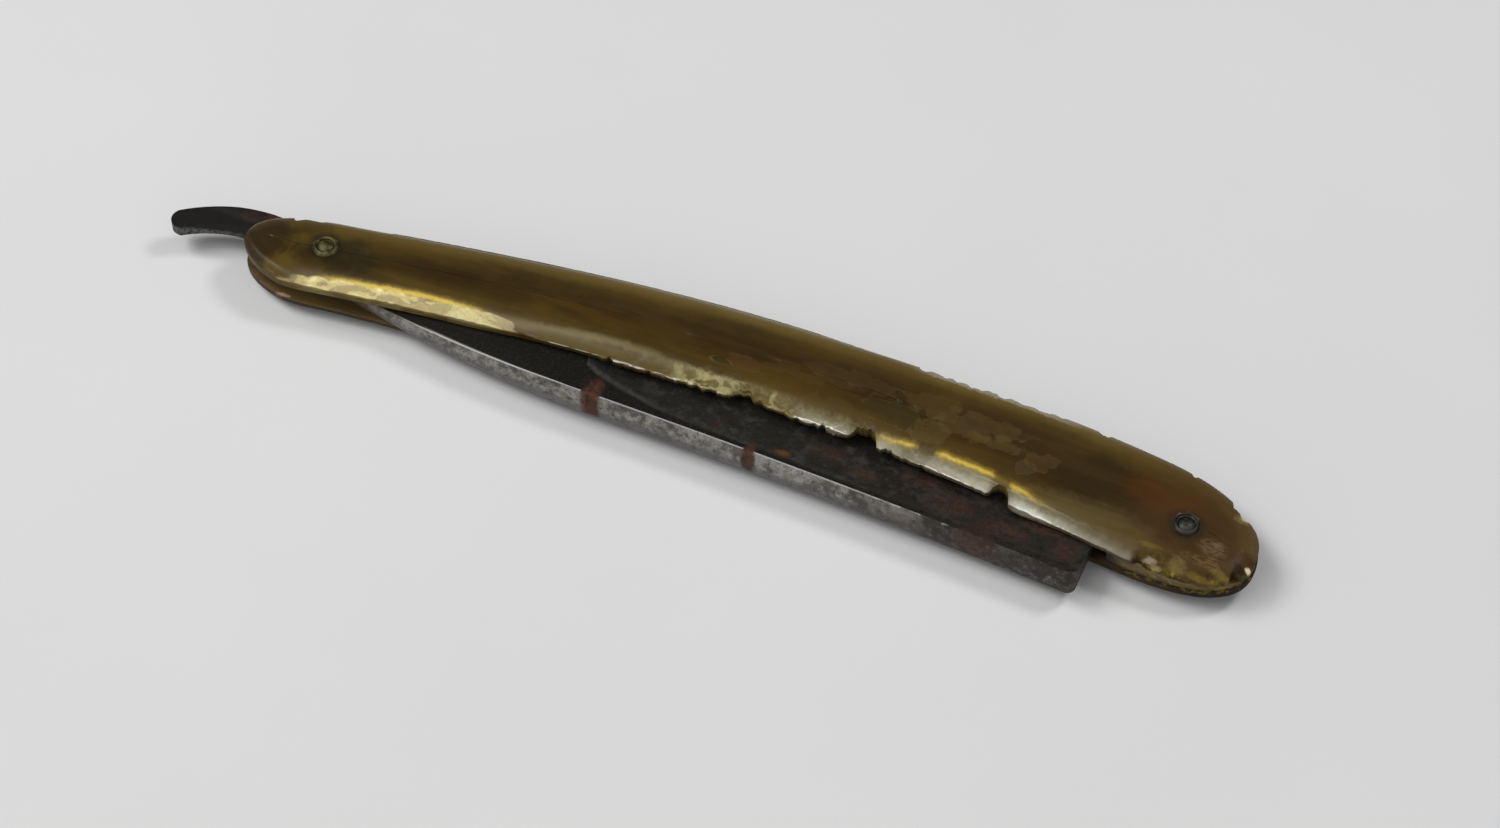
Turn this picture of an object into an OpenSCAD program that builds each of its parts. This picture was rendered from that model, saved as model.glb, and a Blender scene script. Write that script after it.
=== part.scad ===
// Folding razor knife with horn scales, lying closed on its side, in millimetres.
// The blade turns on the pivot pin at the tail end. The wedge and its pin close the other end.
// Inside the modules the pivot is at the origin, +X runs to the wedge pin, and z = 0 is the mid plane
// between the two scales. The spine of the closed blade lies on the -Y side.

/* [Blade] */
// Length of the ground blade from the shoulder to the square point
blade_length = 75.7; // [65:0.1:85]
// Width of the blade from the spine to the cutting edge
blade_width = 19; // [15:0.1:20]
// Thickness over the spine at the shoulder
spine_thickness = 4.7; // [4:0.1:5.2]
// Thickness of the cutting edge
edge_thickness = 0.24; // [0.15:0.01:0.5]
// How far the middle of the spine is drawn in from a straight line
spine_hollow = 0.6; // [0.3:0.05:1.2]
// Radius of the grinding wheel that hollowed both faces
wheel_radius = 55; // [40:1:90]
// Flat band left between the spine and the hollow
spine_land = 1.5; // [1:0.1:3]
// Flat bevel left beside the cutting edge
edge_bevel = 0.7; // [0.4:0.1:2]
// Radius of the sweep in which the hollow runs out at the shoulder
runout_radius = 75; // [40:1:120]
// Radius across the rounded back of the spine
back_radius = 5; // [4:0.1:8]
// Radius of the worn corner between the spine and the square point
point_radius = 1.2; // [0.5:0.1:2]
// Slope of the closed blade's spine to the line of pins, in degrees
spine_slope = 3.07; // [2:0.01:4]

/* [Tang] */
// Distance from the pivot to the shoulder of the blade
tang_length = 43; // [38:0.1:50]
// Thickness of the tang between the scales
tang_thickness = 2.6; // [2:0.1:2.8]
// Distance from the pivot at which the tang starts to thicken
tang_flat = 13; // [12.5:0.1:16]
// Distance from the line of pins to the spine at the shoulder
spine_offset = 9.9; // [8.9:0.1:10.8]
// Height of the tang's belly over the line of pins at the shoulder
belly_offset = 1.3; // [0.5:0.1:3]
// Diameter of the tang's boss round the pivot
boss_diameter = 8.4; // [7:0.1:9.5]
// Radius of the curved back of the tang
tang_back_radius = 195; // [160:1:300]
// Slope of the tang's back at the shoulder, in degrees
tang_back_slope = 3; // [2.5:0.1:4]
// Radius of the rounded heel of the cutting edge
heel_radius = 2.5; // [1:0.1:4]
// Length of the step between the shoulder and the heel
heel_step = 2.5; // [1.5:0.1:4]

/* [Tail] */
// Distance from the pivot to the tip of the tail
tail_length = 24.4; // [20:0.1:28]
// Radius of the outer curve of the tail
tail_outer_radius = 23; // [20:0.1:26]
// Radius of the inner curve of the tail
tail_inner_radius = 16.5; // [14:0.1:19]
// Width of the tail where it leaves the scales
tail_width = 4.3; // [3.8:0.1:5]
// Thickness of the tail at its tip
tail_tip_thickness = 1.8; // [1.4:0.1:2.4]
// Radius of the blunt tip
tail_tip_radius = 1.9; // [1.7:0.05:2.2]

/* [Scales] */
// Distance from the pivot to the end of the scales
pivot_end = 12.4; // [11:0.1:14]
// Distance from the wedge pin to the end of the scales
wedge_end = 10.4; // [9:0.1:13]
// Width of the scales at the pivot
pivot_width = 12.4; // [11:0.1:14]
// Width of the scales at the narrow middle
middle_width = 14.8; // [13:0.1:17]
// Width of the scales near the wedge
wedge_width = 17.9; // [15:0.1:20]
// Rise of the scales' centre line from the pivot to its crest
pivot_sweep = 5.1; // [4:0.1:6.5]
// Fall of the centre line from its crest to the wedge pin
wedge_sweep = 4.2; // [3.5:0.1:6]
// Distance from the pivot to the crest of the centre line
crest_place = 72; // [60:1:80]
// Thickness of each scale along its middle
scale_thickness = 2.4; // [2:0.1:3.2]
// Height of the square rim around each scale
scale_rim = 0.8; // [0.5:0.05:1.2]
// Width of the rolled-over border of each scale
roll_width = 2.4; // [1.5:0.1:3.5]
// Extra height of the crowned face inside the border
scale_crown = 0.2; // [0.14:0.01:0.3]
// Depth worn off the crown where the razor rests
rest_wear = 0.12; // [0.08:0.01:0.14]

/* [Gap between the scales] */
// Gap at the bowed middle
middle_gap = 4.6; // [4:0.1:5.4]
// Gap at the wedge pin
wedge_gap = 1.4; // [1.2:0.05:2]
// Distance from the pivot to the widest part of the bow
bow_place = 62; // [55:1:70]

/* [Wedge] */
// Length of the wedge on the blade's side of its pin
wedge_lead = 8.8; // [6:0.1:12]
// Free space between the blade's point and the wedge
point_clearance = 2.5; // [2:0.1:5]
// Distance of the wedge's border inside the scales' outline
wedge_inset = 0.3; // [0.2:0.05:1]

/* [Pins and collars] */
// Diameter of both pins
pin_diameter = 1.6; // [1.2:0.1:2]
// Diameter of the peened heads
head_diameter = 2.3; // [2.1:0.1:2.6]
// Height of the peened heads
head_height = 0.42; // [0.3:0.01:0.5]
// Diameter of the domed collars
collar_diameter = 4; // [3.4:0.1:5]
// Height of the collars at their rim
collar_rim = 0.25; // [0.15:0.01:0.3]
// Height of the collars at the crown of the dome
collar_height = 0.6; // [0.5:0.01:0.7]
// Depth of the cup in which the peened head sits
collar_cup = 0.3; // [0.15:0.01:0.35]
// Diameter of the shallow seats sunk into the scales
seat_diameter = 5.4; // [4.8:0.1:6]
// Depth of the seats below the scales' faces
seat_depth = 0.12; // [0.05:0.01:0.25]
// Diameter of the thin washers beside the tang
washer_diameter = 5.2; // [4:0.1:5.6]
// Thickness of the thin washers
washer_thickness = 0.14; // [0.1:0.01:0.2]

/* [Fits] */
// Radial clearance of the pins in their holes
pin_clearance = 0.05; // [0.03:0.01:0.1]
// Clearance between faces that bear on each other
face_clearance = 0.01; // [0.005:0.005:0.03]

/* [Bites in the front scale] */
// Radius of each insect bite
bite_radius = 2.1; // [2:0.1:3.5]
// Distance from the pivot to the first bite
bite_1_place = 65.5; // [60:0.5:72]
// Depth of the first bite
bite_1_depth = 1; // [0.3:0.1:1.6]
// Distance from the pivot to the second bite
bite_2_place = 84; // [78:0.5:92]
// Depth of the second bite
bite_2_depth = 1.8; // [0.3:0.1:2]
// Distance from the pivot to the third bite
bite_3_place = 104.5; // [98:0.5:109]
// Depth of the third bite
bite_3_depth = 2.1; // [0.3:0.1:2.3]

/* [Hidden] */

horn_colour = "#4d3b1d";
pale_horn_colour = "#6b5a2c";
steel_colour = "#6e6d6a";
brass_colour = "#8f7d45";
dark_steel_colour = "#3a3a3c";
wedge_colour = "#3b332b";
through = 1;
far_side = 1;
near_side = -1;

// Pins, holes and the places along the line of pins
pin_radius = pin_diameter / 2;
hole_radius = pin_radius + pin_clearance;
pin_spacing = tang_length + blade_length * cos(spine_slope) + point_clearance + wedge_lead;
wedge_start = pin_spacing - wedge_lead;
scale_tip = pin_spacing + wedge_end;

// Half gaps between the mid plane and the scales' inner faces
pivot_half_gap = tang_thickness / 2 + washer_thickness + 2 * face_clearance;
middle_half_gap = middle_gap / 2;
wedge_half_gap = wedge_gap / 2;
washer_margin = 1;
wedge_margin = 5;
flat_reach = washer_diameter / 2 + washer_margin;
straight_start = wedge_start - wedge_margin;
straight_run = pin_spacing - straight_start;
bow_run = straight_start - bow_place;
bow_rate = (middle_half_gap - wedge_half_gap) / (bow_run ^ 2 + 2 * bow_run * straight_run);

// Height of the mid plane over the resting face, and the corners of the whole razor
mid_height = middle_half_gap + scale_thickness - rest_wear;
pivot_seat = pivot_half_gap + scale_thickness - seat_depth;
wedge_tilt = 2 * bow_rate * bow_run;
wedge_seat = wedge_half_gap + scale_thickness - seat_depth - wedge_tilt * seat_diameter / 2;

// Blade: the shoulder, the point and the arc of the drawn-in spine
shoulder = [tang_length, -spine_offset];
spine_run = [cos(spine_slope), -sin(spine_slope)];
spine_normal = [sin(spine_slope), cos(spine_slope)];
point_centre = shoulder + (blade_length - point_radius) * spine_run + point_radius * spine_normal;
spine_arc_radius = (blade_length ^ 2 / 4 + spine_hollow ^ 2) / (2 * spine_hollow);
spine_arc_depth = spine_arc_radius - spine_hollow;
edge_arc_radius = spine_arc_radius + blade_width;
spine_half = spine_thickness / 2;
edge_half = edge_thickness / 2;
runout_lead = 8;
face_fall = (spine_half - edge_half) / (blade_width + spine_hollow);

// Tang: centre of the curved back, which meets the spine at the shoulder
tang_half = tang_thickness / 2;
boss_radius = boss_diameter / 2;
tang_back_centre = shoulder + tang_back_radius * [sin(tang_back_slope), cos(tang_back_slope)];

// Tail: its crest, the centres of its two curves and of its blunt tip, and where it starts to thin
tail_crest = [-11, 5];
tail_inner_lead = 2;
tail_tip_drop = 0.35;
tail_tip_heading = 37;
tail_root = -8;
tail_outer_centre = tail_crest - [0, tail_outer_radius];
tail_inner_centre = tail_crest - [tail_inner_lead, tail_width + tail_inner_radius];
tail_tip_centre = [tail_tip_radius - tail_length, -tail_tip_drop];

// Scales: the broadest place, where the centre line goes level, and its height there
broad_lead = 6;
level_place = -4;
level_rise = -0.4;
end_power = 2.3;
broad_place = pin_spacing - broad_lead;
broad_run = scale_tip - broad_place;

// Steps of the skin along the scales, across the rolled border and over the crown
end_steps = 9;
bow_steps = 18;
wedge_steps = 3;
first_core = end_steps * 2 / 3;
border_share = [0, 0.05, 0.18, 0.4, 0.68, 1];
crown_share = 0.5;

// An even S-shaped passage from 0 to 1
function ease(u) = (1 - cos(180 * min(max(u, 0), 1))) / 2;

// Half width of a scale at a distance x from the pivot, between its rounded ends
function half_width(x) =
    x < crest_place
        ? (pivot_width + (middle_width - pivot_width) * ease(x / crest_place)) / 2
        : (middle_width + (wedge_width - middle_width)
           * ease((x - crest_place) / (broad_place - crest_place))) / 2;

// Height of the scales' centre line over the line of pins
function centre_line(x) =
    let (at = max(x, level_place))
    at < crest_place
        ? level_rise + pivot_sweep * (1 - ((at - crest_place) / crest_place) ^ 2)
        : level_rise + pivot_sweep - wedge_sweep * ((at - crest_place) / (pin_spacing - crest_place)) ^ 2;

// Half gap between the scales: flat beside the pivot, bowed, and straight along the wedge
function half_gap(x) =
    x < flat_reach ? pivot_half_gap
    : x < bow_place
        ? pivot_half_gap + (middle_half_gap - pivot_half_gap)
          * sin(90 * (x - flat_reach) / (bow_place - flat_reach))
    : x < straight_start ? middle_half_gap - bow_rate * (x - bow_place) ^ 2
    : middle_half_gap - bow_rate * bow_run ^ 2 - wedge_tilt * (x - straight_start);

// Stations of a scale as pairs of place and half width
pivot_round = [for (i = [0 : end_steps - 1])
    let (a = 90 * i / end_steps) [-pivot_end * cos(a), pivot_width / 2 * sin(a)]];
bow_places = concat([0],
    [for (i = [0 : bow_steps]) flat_reach + (straight_start - flat_reach) * i / bow_steps],
    [for (i = [1 : wedge_steps]) straight_start + (broad_place - straight_start) * i / wedge_steps]);
wedge_round = [for (i = [1 : end_steps])
    let (a = 90 * i / end_steps)
    [broad_place + broad_run * sin(a) ^ (2 / end_power), wedge_width / 2 * cos(a) ^ (2 / end_power)]];
stations = concat(pivot_round, [for (x = bow_places) [x, half_width(x)]], wedge_round);
last = len(stations) - 1;
last_core = last - first_core;

// One loop of the outline: the far side from end to end, then the near side back again
loop = concat([for (i = [0 : last]) [i, far_side]], [for (i = [last - 1 : -1 : 1]) [i, near_side]]);
loop_size = len(loop);

function core_index(i) = min(max(i, first_core), last_core);
function core_point(i) = let (x = stations[core_index(i)][0]) [x, centre_line(x)];
function rim_point(p) =
    let (s = stations[p[0]]) [s[0], centre_line(s[0]) + p[1] * s[1]];

// A point of the outline moved in by a distance, toward the core of the scale
function inset_point(p, d) =
    let (a = rim_point(p), b = core_point(p[0])) a + (b - a) / norm(b - a) * d;

far_reach = max([for (p = loop) rim_point(p)[1]]);
near_reach = point_centre[1] - point_radius;
tail_reach = -tail_length;
frame_shift = [-(tail_reach + scale_tip) / 2, -(far_reach + near_reach) / 2, mid_height];

// Lifts a flat point onto the bowed sheet, at a height over its inner face
function lifted(q, z) = [q[0], q[1], half_gap(q[0]) + z];

border_top = scale_thickness - scale_crown;
function border_height(u) = scale_rim + (border_top - scale_rim) * sqrt(1 - (1 - u) ^ 2);

// Moves a shape from the pin frame to the razor's own frame
module placed() {
    translate(frame_shift)
        children();
}

// Both hands of a shape about the mid plane
module both_faces() {
    children();
    mirror([0, 0, 1])
        children();
}

// A bowed, crowned plate with a square rim and a rolled border, as one closed skin
module scale_plate() {
    inner_loop = [for (p = loop) lifted(rim_point(p), 0)];
    border = [for (u = border_share) for (p = loop)
        lifted(inset_point(p, roll_width * u), border_height(u))];
    crown = [for (p = loop)
        let (edge = inset_point(p, roll_width), core = core_point(p[0]))
        lifted(edge + (core - edge) * crown_share, scale_thickness - scale_crown * (1 - crown_share) ^ 2)];
    top_core = [for (i = [first_core : last_core]) lifted(core_point(i), scale_thickness)];
    inner_core = [for (i = [first_core : last_core]) lifted(core_point(i), 0)];
    rings = len(border_share) + 2;
    top_core_start = rings * loop_size;
    inner_core_start = top_core_start + len(top_core);

    side_skin = [for (r = [0 : rings - 2]) for (k = [0 : loop_size - 1])
        let (a = r * loop_size + k, b = r * loop_size + (k + 1) % loop_size)
        each [[a, b + loop_size, b], [a, a + loop_size, b + loop_size]]];
    top_skin = core_skin((rings - 1) * loop_size, top_core_start);
    inner_skin = [for (t = core_skin(0, inner_core_start)) [t[0], t[2], t[1]]];
    polyhedron(concat(inner_loop, border, crown, top_core, inner_core),
               concat(side_skin, top_skin, inner_skin), convexity = 6);
}

// Triangles between a loop and the core line inside it
function core_skin(loop_start, core_start) =
    [for (k = [0 : loop_size - 1])
        let (next = (k + 1) % loop_size,
             a = loop_start + k,
             b = loop_start + next,
             c = core_start + core_index(loop[k][0]) - first_core,
             d = core_start + core_index(loop[next][0]) - first_core)
        each c == d ? [[a, c, b]] : [[a, d, b], [a, c, d]]];

// Everything that both scales lose: pin holes, collar seats and the worn resting face
module scale_cuts() {
    for (hole = [[0, pivot_seat], [pin_spacing, wedge_seat]]) {
        translate([hole[0], 0, 0])
            cylinder(h = mid_height + through, r = hole_radius, $fn = 48);
        translate([hole[0], 0, hole[1]])
            cylinder(h = mid_height, d = seat_diameter, $fn = 72);
    }
    translate([-pivot_end, -wedge_width, mid_height])
        cube([scale_tip + pivot_end, 2 * wedge_width, scale_thickness]);
}

module scale_blank() {
    difference() {
        scale_plate();
        scale_cuts();
    }
}

module front_scale() {
    bites = [[bite_1_place, bite_1_depth], [bite_2_place, bite_2_depth], [bite_3_place, bite_3_depth]];
    color(horn_colour)
        placed()
            difference() {
                scale_blank();
                for (b = bites)
                    translate([b[0], centre_line(b[0]) - half_width(b[0]) + b[1] - bite_radius, 0])
                        cylinder(h = mid_height + through, r = bite_radius, $fn = 48);
            }
}

module back_scale() {
    color(pale_horn_colour)
        placed()
            mirror([0, 0, 1])
                scale_blank();
}

// Moves a shape from the spine line to the pin frame: +X along the spine, +Y toward the edge
module on_spine() {
    translate(shoulder)
        rotate(-spine_slope)
            children();
}

// Everything beyond a round border, on one side of a line through a point of the plan
module beyond_arc(centre, radius, corner, size) {
    difference() {
        translate(corner)
            square(size);
        translate(centre)
            circle(r = radius, $fn = 1440);
    }
}

// Plan of the bar from which the tail and the tang are cut, under the straight belly
module bar_plan() {
    depth = spine_offset + through;
    heel_place = tang_length + heel_step + through;
    belly_slope = (tail_crest[1] - belly_offset) / (heel_place - tail_crest[0]);
    end_rise = belly_slope * tail_length;
    polygon([[tail_crest[0] - tail_length, tail_crest[1] + end_rise], [heel_place, belly_offset],
             [heel_place, -depth], [tail_crest[0] - tail_length, -depth]]);
}

// Plan of the blade up to its smiling edge, with the step and the rounded heel
module blade_plan() {
    heel_place = heel_step + heel_radius;
    relief = 0.02;
    on_spine()
        intersection() {
            translate([blade_length / 2, -spine_arc_depth])
                circle(r = edge_arc_radius, $fn = 3600);
            difference() {
                union() {
                    translate([0, -through])
                        square([blade_length, blade_width / 2]);
                    translate([heel_step, -through])
                        square([blade_length - heel_step, blade_width - heel_radius + through]);
                    translate([heel_place, -through])
                        square([blade_length - heel_place, blade_width + 2 * through]);
                    translate([heel_place, blade_width - heel_radius])
                        circle(r = heel_radius, $fn = 72);
                }
                beyond_arc([blade_length - point_radius + relief, point_radius - relief], point_radius,
                           [blade_length - point_radius, -2 * through],
                           [point_radius + through, point_radius + 2 * through]);
            }
        }
}

// The bar as a thick plate, with the outer curve, the inner curve and the blunt tip of the tail cut
module bar() {
    reach = 2 * tail_length;
    slab()
        difference() {
            bar_plan();
            beyond_arc(tail_outer_centre, tail_outer_radius,
                       [tail_crest[0] - reach, 0], [reach + through, reach]);
            translate(tail_inner_centre)
                circle(r = tail_inner_radius, $fn = 360);
            translate(tail_tip_centre)
                rotate(tail_tip_heading)
                    beyond_arc([0, 0], tail_tip_radius, [-reach, -reach], [reach, 2 * reach]);
        }
}

// A plate of the flat shape, thicker than the finished forging
module slab() {
    translate([0, 0, -spine_thickness])
        linear_extrude(2 * spine_thickness)
            children();
}

// What is filed off behind the drawn-in spine, leaving its back round
module spine_cutter() {
    half_run = blade_length / 2 + tang_length / 4;
    spread = asin(half_run / spine_arc_radius);
    on_spine()
        translate([blade_length / 2, -spine_arc_depth, 0])
            rotate(90 - spread)
                rotate_extrude(angle = 2 * spread, $fn = 3600)
                    difference() {
                        translate([spine_arc_radius - tang_length, -spine_thickness])
                            square([tang_length + back_radius / 2, 2 * spine_thickness]);
                        translate([spine_arc_radius + back_radius, 0])
                            circle(r = back_radius, $fn = 180);
                    }
}

// What is filed off behind the curved back of the tang, from the boss to past the shoulder
module tang_cutter() {
    turn = asin((tang_length + boss_radius / 2) / tang_back_radius);
    past = asin(tang_length / 4 / tang_back_radius);
    translate(tang_back_centre)
        rotate(-90 - tang_back_slope - turn)
            rotate_extrude(angle = turn + past, $fn = 1440)
                difference() {
                    translate([tang_back_radius - back_radius / 2, -spine_thickness])
                        square([tang_length, 2 * spine_thickness]);
                    translate([tang_back_radius - back_radius, 0])
                        circle(r = back_radius, $fn = 180);
                }
}

// Side view of the forging: thin tail, parallel pivot, thickening tang and open blade
module side_profile() {
    beyond = pin_spacing;
    tip = -tail_length - through;
    tail_fall = (tang_half - tail_tip_thickness / 2) / (tail_length + tail_root);
    tip_half = tang_half - tail_fall * (tail_root - tip);
    upper = [[tip, tip_half], [tail_root, tang_half], [tang_flat, tang_half], [tang_length, spine_half],
             [tang_length + heel_step, 2 * spine_half], [beyond, 2 * spine_half]];
    lower = [for (i = [len(upper) - 1 : -1 : 0]) [upper[i][0], -upper[i][1]]];
    translate([0, blade_width, 0])
        rotate([90, 0, 0])
            linear_extrude(2 * blade_width)
                polygon(concat(upper, lower));
}

// The two honed planes that run from the spine to the cutting edge
module wedge_section() {
    before = -blade_width / 2;
    after = blade_width + spine_hollow;
    outer = spine_half - face_fall * before;
    on_spine()
        translate([-tang_length - tail_length - 2 * through, 0, 0])
            rotate([90, 0, 90])
                linear_extrude(tang_length + tail_length + blade_length + 4 * through)
                    polygon([[before, outer], [after, edge_half], [after, -edge_half], [before, -outer]]);
}

// Grinding wheel over one face, with the sweep in which it was lifted out at the shoulder
module wheel() {
    land = [spine_land, spine_half - face_fall * spine_land];
    bevel_place = blade_width - edge_bevel;
    bevel = [bevel_place, spine_half - face_fall * bevel_place];
    chord = norm(bevel - land);
    rise = sqrt(wheel_radius ^ 2 - chord ^ 2 / 4);
    normal = [face_fall, 1] / norm([face_fall, 1]);
    axis = (land + bevel) / 2 + normal * rise;
    overlap = 0.02;
    on_spine()
        translate([runout_lead, axis[0], axis[1]])
            rotate([0, 90, 0])
                rotate_extrude($fn = 720)
                    rotate(-90)
                        mirror([1, 0])
                            wheel_half(blade_length + through, overlap);
}

// Half section of the wheel: its rim along X and its axis on Y = 0
module wheel_half(run, overlap) {
    square([run, wheel_radius]);
    intersection() {
        translate([0, wheel_radius - runout_radius + overlap])
            circle(r = runout_radius, $fn = 720);
        translate([-wheel_radius / 2, 0])
            square([wheel_radius / 2, wheel_radius]);
    }
}

module razor_blade() {
    color(steel_colour)
        placed()
            difference() {
                intersection() {
                    union() {
                        difference() {
                            union() {
                                bar();
                                slab()
                                    blade_plan();
                            }
                            tang_cutter();
                            spine_cutter();
                        }
                        slab()
                            circle(r = boss_radius, $fn = 96);
                    }
                    side_profile();
                    wedge_section();
                }
                both_faces()
                    wheel();
                translate([0, 0, -spine_thickness])
                    cylinder(h = 2 * spine_thickness, r = hole_radius, $fn = 48);
            }
}

// A tapered filler whose faces bear on both scales, with the hole for its pin
module end_wedge() {
    run = scale_tip - wedge_start;
    thick = half_gap(wedge_start) - face_clearance;
    thin = half_gap(scale_tip) - face_clearance;
    color(wedge_colour)
        placed()
            difference() {
                intersection() {
                    translate([0, 0, -middle_gap])
                        linear_extrude(2 * middle_gap)
                            polygon([for (p = loop) inset_point(p, wedge_inset)]);
                    translate([wedge_start, wedge_width, 0])
                        rotate([90, 0, 0])
                            linear_extrude(2 * wedge_width)
                                polygon([[0, thick], [run, thin], [run, -thin], [0, -thick]]);
                }
                translate([pin_spacing, 0, -middle_gap])
                    cylinder(h = 2 * middle_gap, r = hole_radius, $fn = 48);
            }
}

// A pin with a peened head at each end, whose heads bear on the cups of its collars
module peened_pin(seat) {
    bearing = seat + collar_height - collar_cup + 2 * face_clearance;
    head_radius = head_diameter / 2;
    dome_radius = (head_radius ^ 2 + head_height ^ 2) / (2 * head_height);
    sunk = head_height / 4;
    rotate_extrude($fn = 72)
        union() {
            translate([0, -bearing - sunk])
                square([pin_radius, 2 * (bearing + sunk)]);
            for (side = [0, 1])
                mirror([0, side])
                    intersection() {
                        translate([0, bearing + head_height - dome_radius])
                            circle(r = dome_radius, $fn = 180);
                        translate([0, bearing])
                            square([head_radius, head_height]);
                    }
        }
}

module pivot_pin() {
    color(brass_colour)
        placed()
            peened_pin(pivot_seat);
}

module wedge_pin() {
    color(dark_steel_colour)
        placed()
            translate([pin_spacing, 0, 0])
                peened_pin(wedge_seat);
}

// A domed collar with a cup for the peened head, standing on its seat
module collar(seat) {
    collar_radius = collar_diameter / 2;
    dome = collar_height - collar_rim;
    dome_radius = (collar_radius ^ 2 + dome ^ 2) / (2 * dome);
    cup_radius = head_diameter / 2 + pin_clearance;
    translate([0, 0, seat + face_clearance])
        rotate_extrude($fn = 96)
            difference() {
                intersection() {
                    translate([0, collar_height - dome_radius])
                        circle(r = dome_radius, $fn = 360);
                    translate([hole_radius, 0])
                        square([collar_radius - hole_radius, collar_height]);
                }
                translate([0, collar_height - collar_cup])
                    square([cup_radius, collar_height]);
            }
}

module front_pivot_collar() {
    color(brass_colour)
        placed()
            collar(pivot_seat);
}

module back_pivot_collar() {
    color(brass_colour)
        placed()
            mirror([0, 0, 1])
                collar(pivot_seat);
}

module front_wedge_collar() {
    color(dark_steel_colour)
        placed()
            translate([pin_spacing, 0, 0])
                collar(wedge_seat);
}

module back_wedge_collar() {
    color(dark_steel_colour)
        placed()
            translate([pin_spacing, 0, 0])
                mirror([0, 0, 1])
                    collar(wedge_seat);
}

// A thin flat washer between the tang and one scale
module washer() {
    translate([0, 0, tang_half + face_clearance])
        difference() {
            cylinder(h = washer_thickness, d = washer_diameter, $fn = 72);
            translate([0, 0, -through])
                cylinder(h = washer_thickness + 2 * through, r = hole_radius, $fn = 48);
        }
}

module front_pivot_washer() {
    color(brass_colour)
        placed()
            washer();
}

module back_pivot_washer() {
    color(brass_colour)
        placed()
            mirror([0, 0, 1])
                washer();
}

razor_blade();
front_scale();
back_scale();
end_wedge();
pivot_pin();
wedge_pin();
front_pivot_collar();
back_pivot_collar();
front_wedge_collar();
back_wedge_collar();
front_pivot_washer();
back_pivot_washer();
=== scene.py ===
"""Folding razor knife with horn scales, closed and lying on its side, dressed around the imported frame."""
import math
from types import SimpleNamespace

import bmesh
import bpy
import numpy as np
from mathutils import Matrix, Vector, noise
from mathutils.kdtree import KDTree


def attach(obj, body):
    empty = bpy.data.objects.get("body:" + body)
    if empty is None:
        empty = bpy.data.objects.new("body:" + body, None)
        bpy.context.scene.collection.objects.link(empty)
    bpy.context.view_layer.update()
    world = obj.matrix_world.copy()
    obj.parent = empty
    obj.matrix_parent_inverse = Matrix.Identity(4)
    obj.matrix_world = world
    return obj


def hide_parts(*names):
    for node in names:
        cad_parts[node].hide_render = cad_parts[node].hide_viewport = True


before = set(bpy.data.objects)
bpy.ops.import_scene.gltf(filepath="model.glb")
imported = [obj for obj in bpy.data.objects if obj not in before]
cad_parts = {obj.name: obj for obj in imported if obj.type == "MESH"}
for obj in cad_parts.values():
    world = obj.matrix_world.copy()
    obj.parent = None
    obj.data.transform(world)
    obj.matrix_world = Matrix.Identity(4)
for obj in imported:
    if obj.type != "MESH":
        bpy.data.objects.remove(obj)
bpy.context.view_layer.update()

MM = 0.001
# Millimetres of the pin frame: the pivot is its origin, +X runs to the wedge pin, z = 0 is the mid plane
FRAME_SHIFT = np.array([-57.9457, 0.887823, 4.58])
PIN_SPACING = 129.8914
MID_HEIGHT = 4.58

# Scales: reach beyond the pins, widths, rise of the centre line, and section
PIVOT_END, WEDGE_END = 12.4, 10.4
PIVOT_WIDTH, MIDDLE_WIDTH, WEDGE_WIDTH = 12.4, 14.8, 17.9
PIVOT_SWEEP, WEDGE_SWEEP = 5.1, 4.2
CREST_PLACE = 72.0
LEVEL_PLACE, LEVEL_RISE = -4.0, -0.4
SCALE_THICKNESS, SCALE_RIM, ROLL_WIDTH, SCALE_CROWN = 2.4, 0.8, 2.4, 0.2
BROAD_PLACE = PIN_SPACING - 6.0
BROAD_RUN = PIN_SPACING + WEDGE_END - BROAD_PLACE
END_POWER = 2.3
BREAKS_START = 44.0      # from here to the wedge the near border is broken, and built finer

# Half gaps between the mid plane and the scales
PIVOT_GAP, MIDDLE_GAP, WEDGE_GAP = 1.46, 2.3, 0.7
FLAT_REACH, BOW_PLACE = 3.6, 62.0
WEDGE_REACH, WEDGE_LEAD = 8.8, 5.0
STRAIGHT_START = PIN_SPACING - WEDGE_REACH - WEDGE_LEAD
STRAIGHT_RUN = PIN_SPACING - STRAIGHT_START
BOW_RUN = STRAIGHT_START - BOW_PLACE
BOW_RATE = (MIDDLE_GAP - WEDGE_GAP) / (BOW_RUN ** 2 + 2 * BOW_RUN * STRAIGHT_RUN)
WEDGE_TILT = 2 * BOW_RATE * BOW_RUN

# Pins, collars and their seats
SEAT_RADIUS, SEAT_DEPTH, HOLE_RADIUS = 2.7, 0.12, 0.85
VISIBLE_SEAT = 1.7       # the rest of the seat is filled with grime
PIVOT_SEAT = PIVOT_GAP + SCALE_THICKNESS - SEAT_DEPTH
WEDGE_SEAT = WEDGE_GAP + SCALE_THICKNESS - SEAT_DEPTH - WEDGE_TILT * SEAT_RADIUS


# Shader maths

def operator(operation, flipped=False):
    """A Link method that adds one Math node, with the link as its first term or, flipped, as its second."""
    def method(link, other):
        return link.home.maths(operation, *((other, link) if flipped else (link, other)))
    return method


class Link:
    """An output socket of a node tree; sums on it add their Math nodes."""

    def __init__(self, home, socket):
        self.home, self.socket = home, socket

    __add__, __radd__ = operator("ADD"), operator("ADD", True)
    __sub__, __rsub__ = operator("SUBTRACT"), operator("SUBTRACT", True)
    __mul__, __rmul__ = operator("MULTIPLY"), operator("MULTIPLY", True)
    __pow__ = operator("POWER")

    def __abs__(self):
        return self.home.maths("ABSOLUTE", self)


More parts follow.
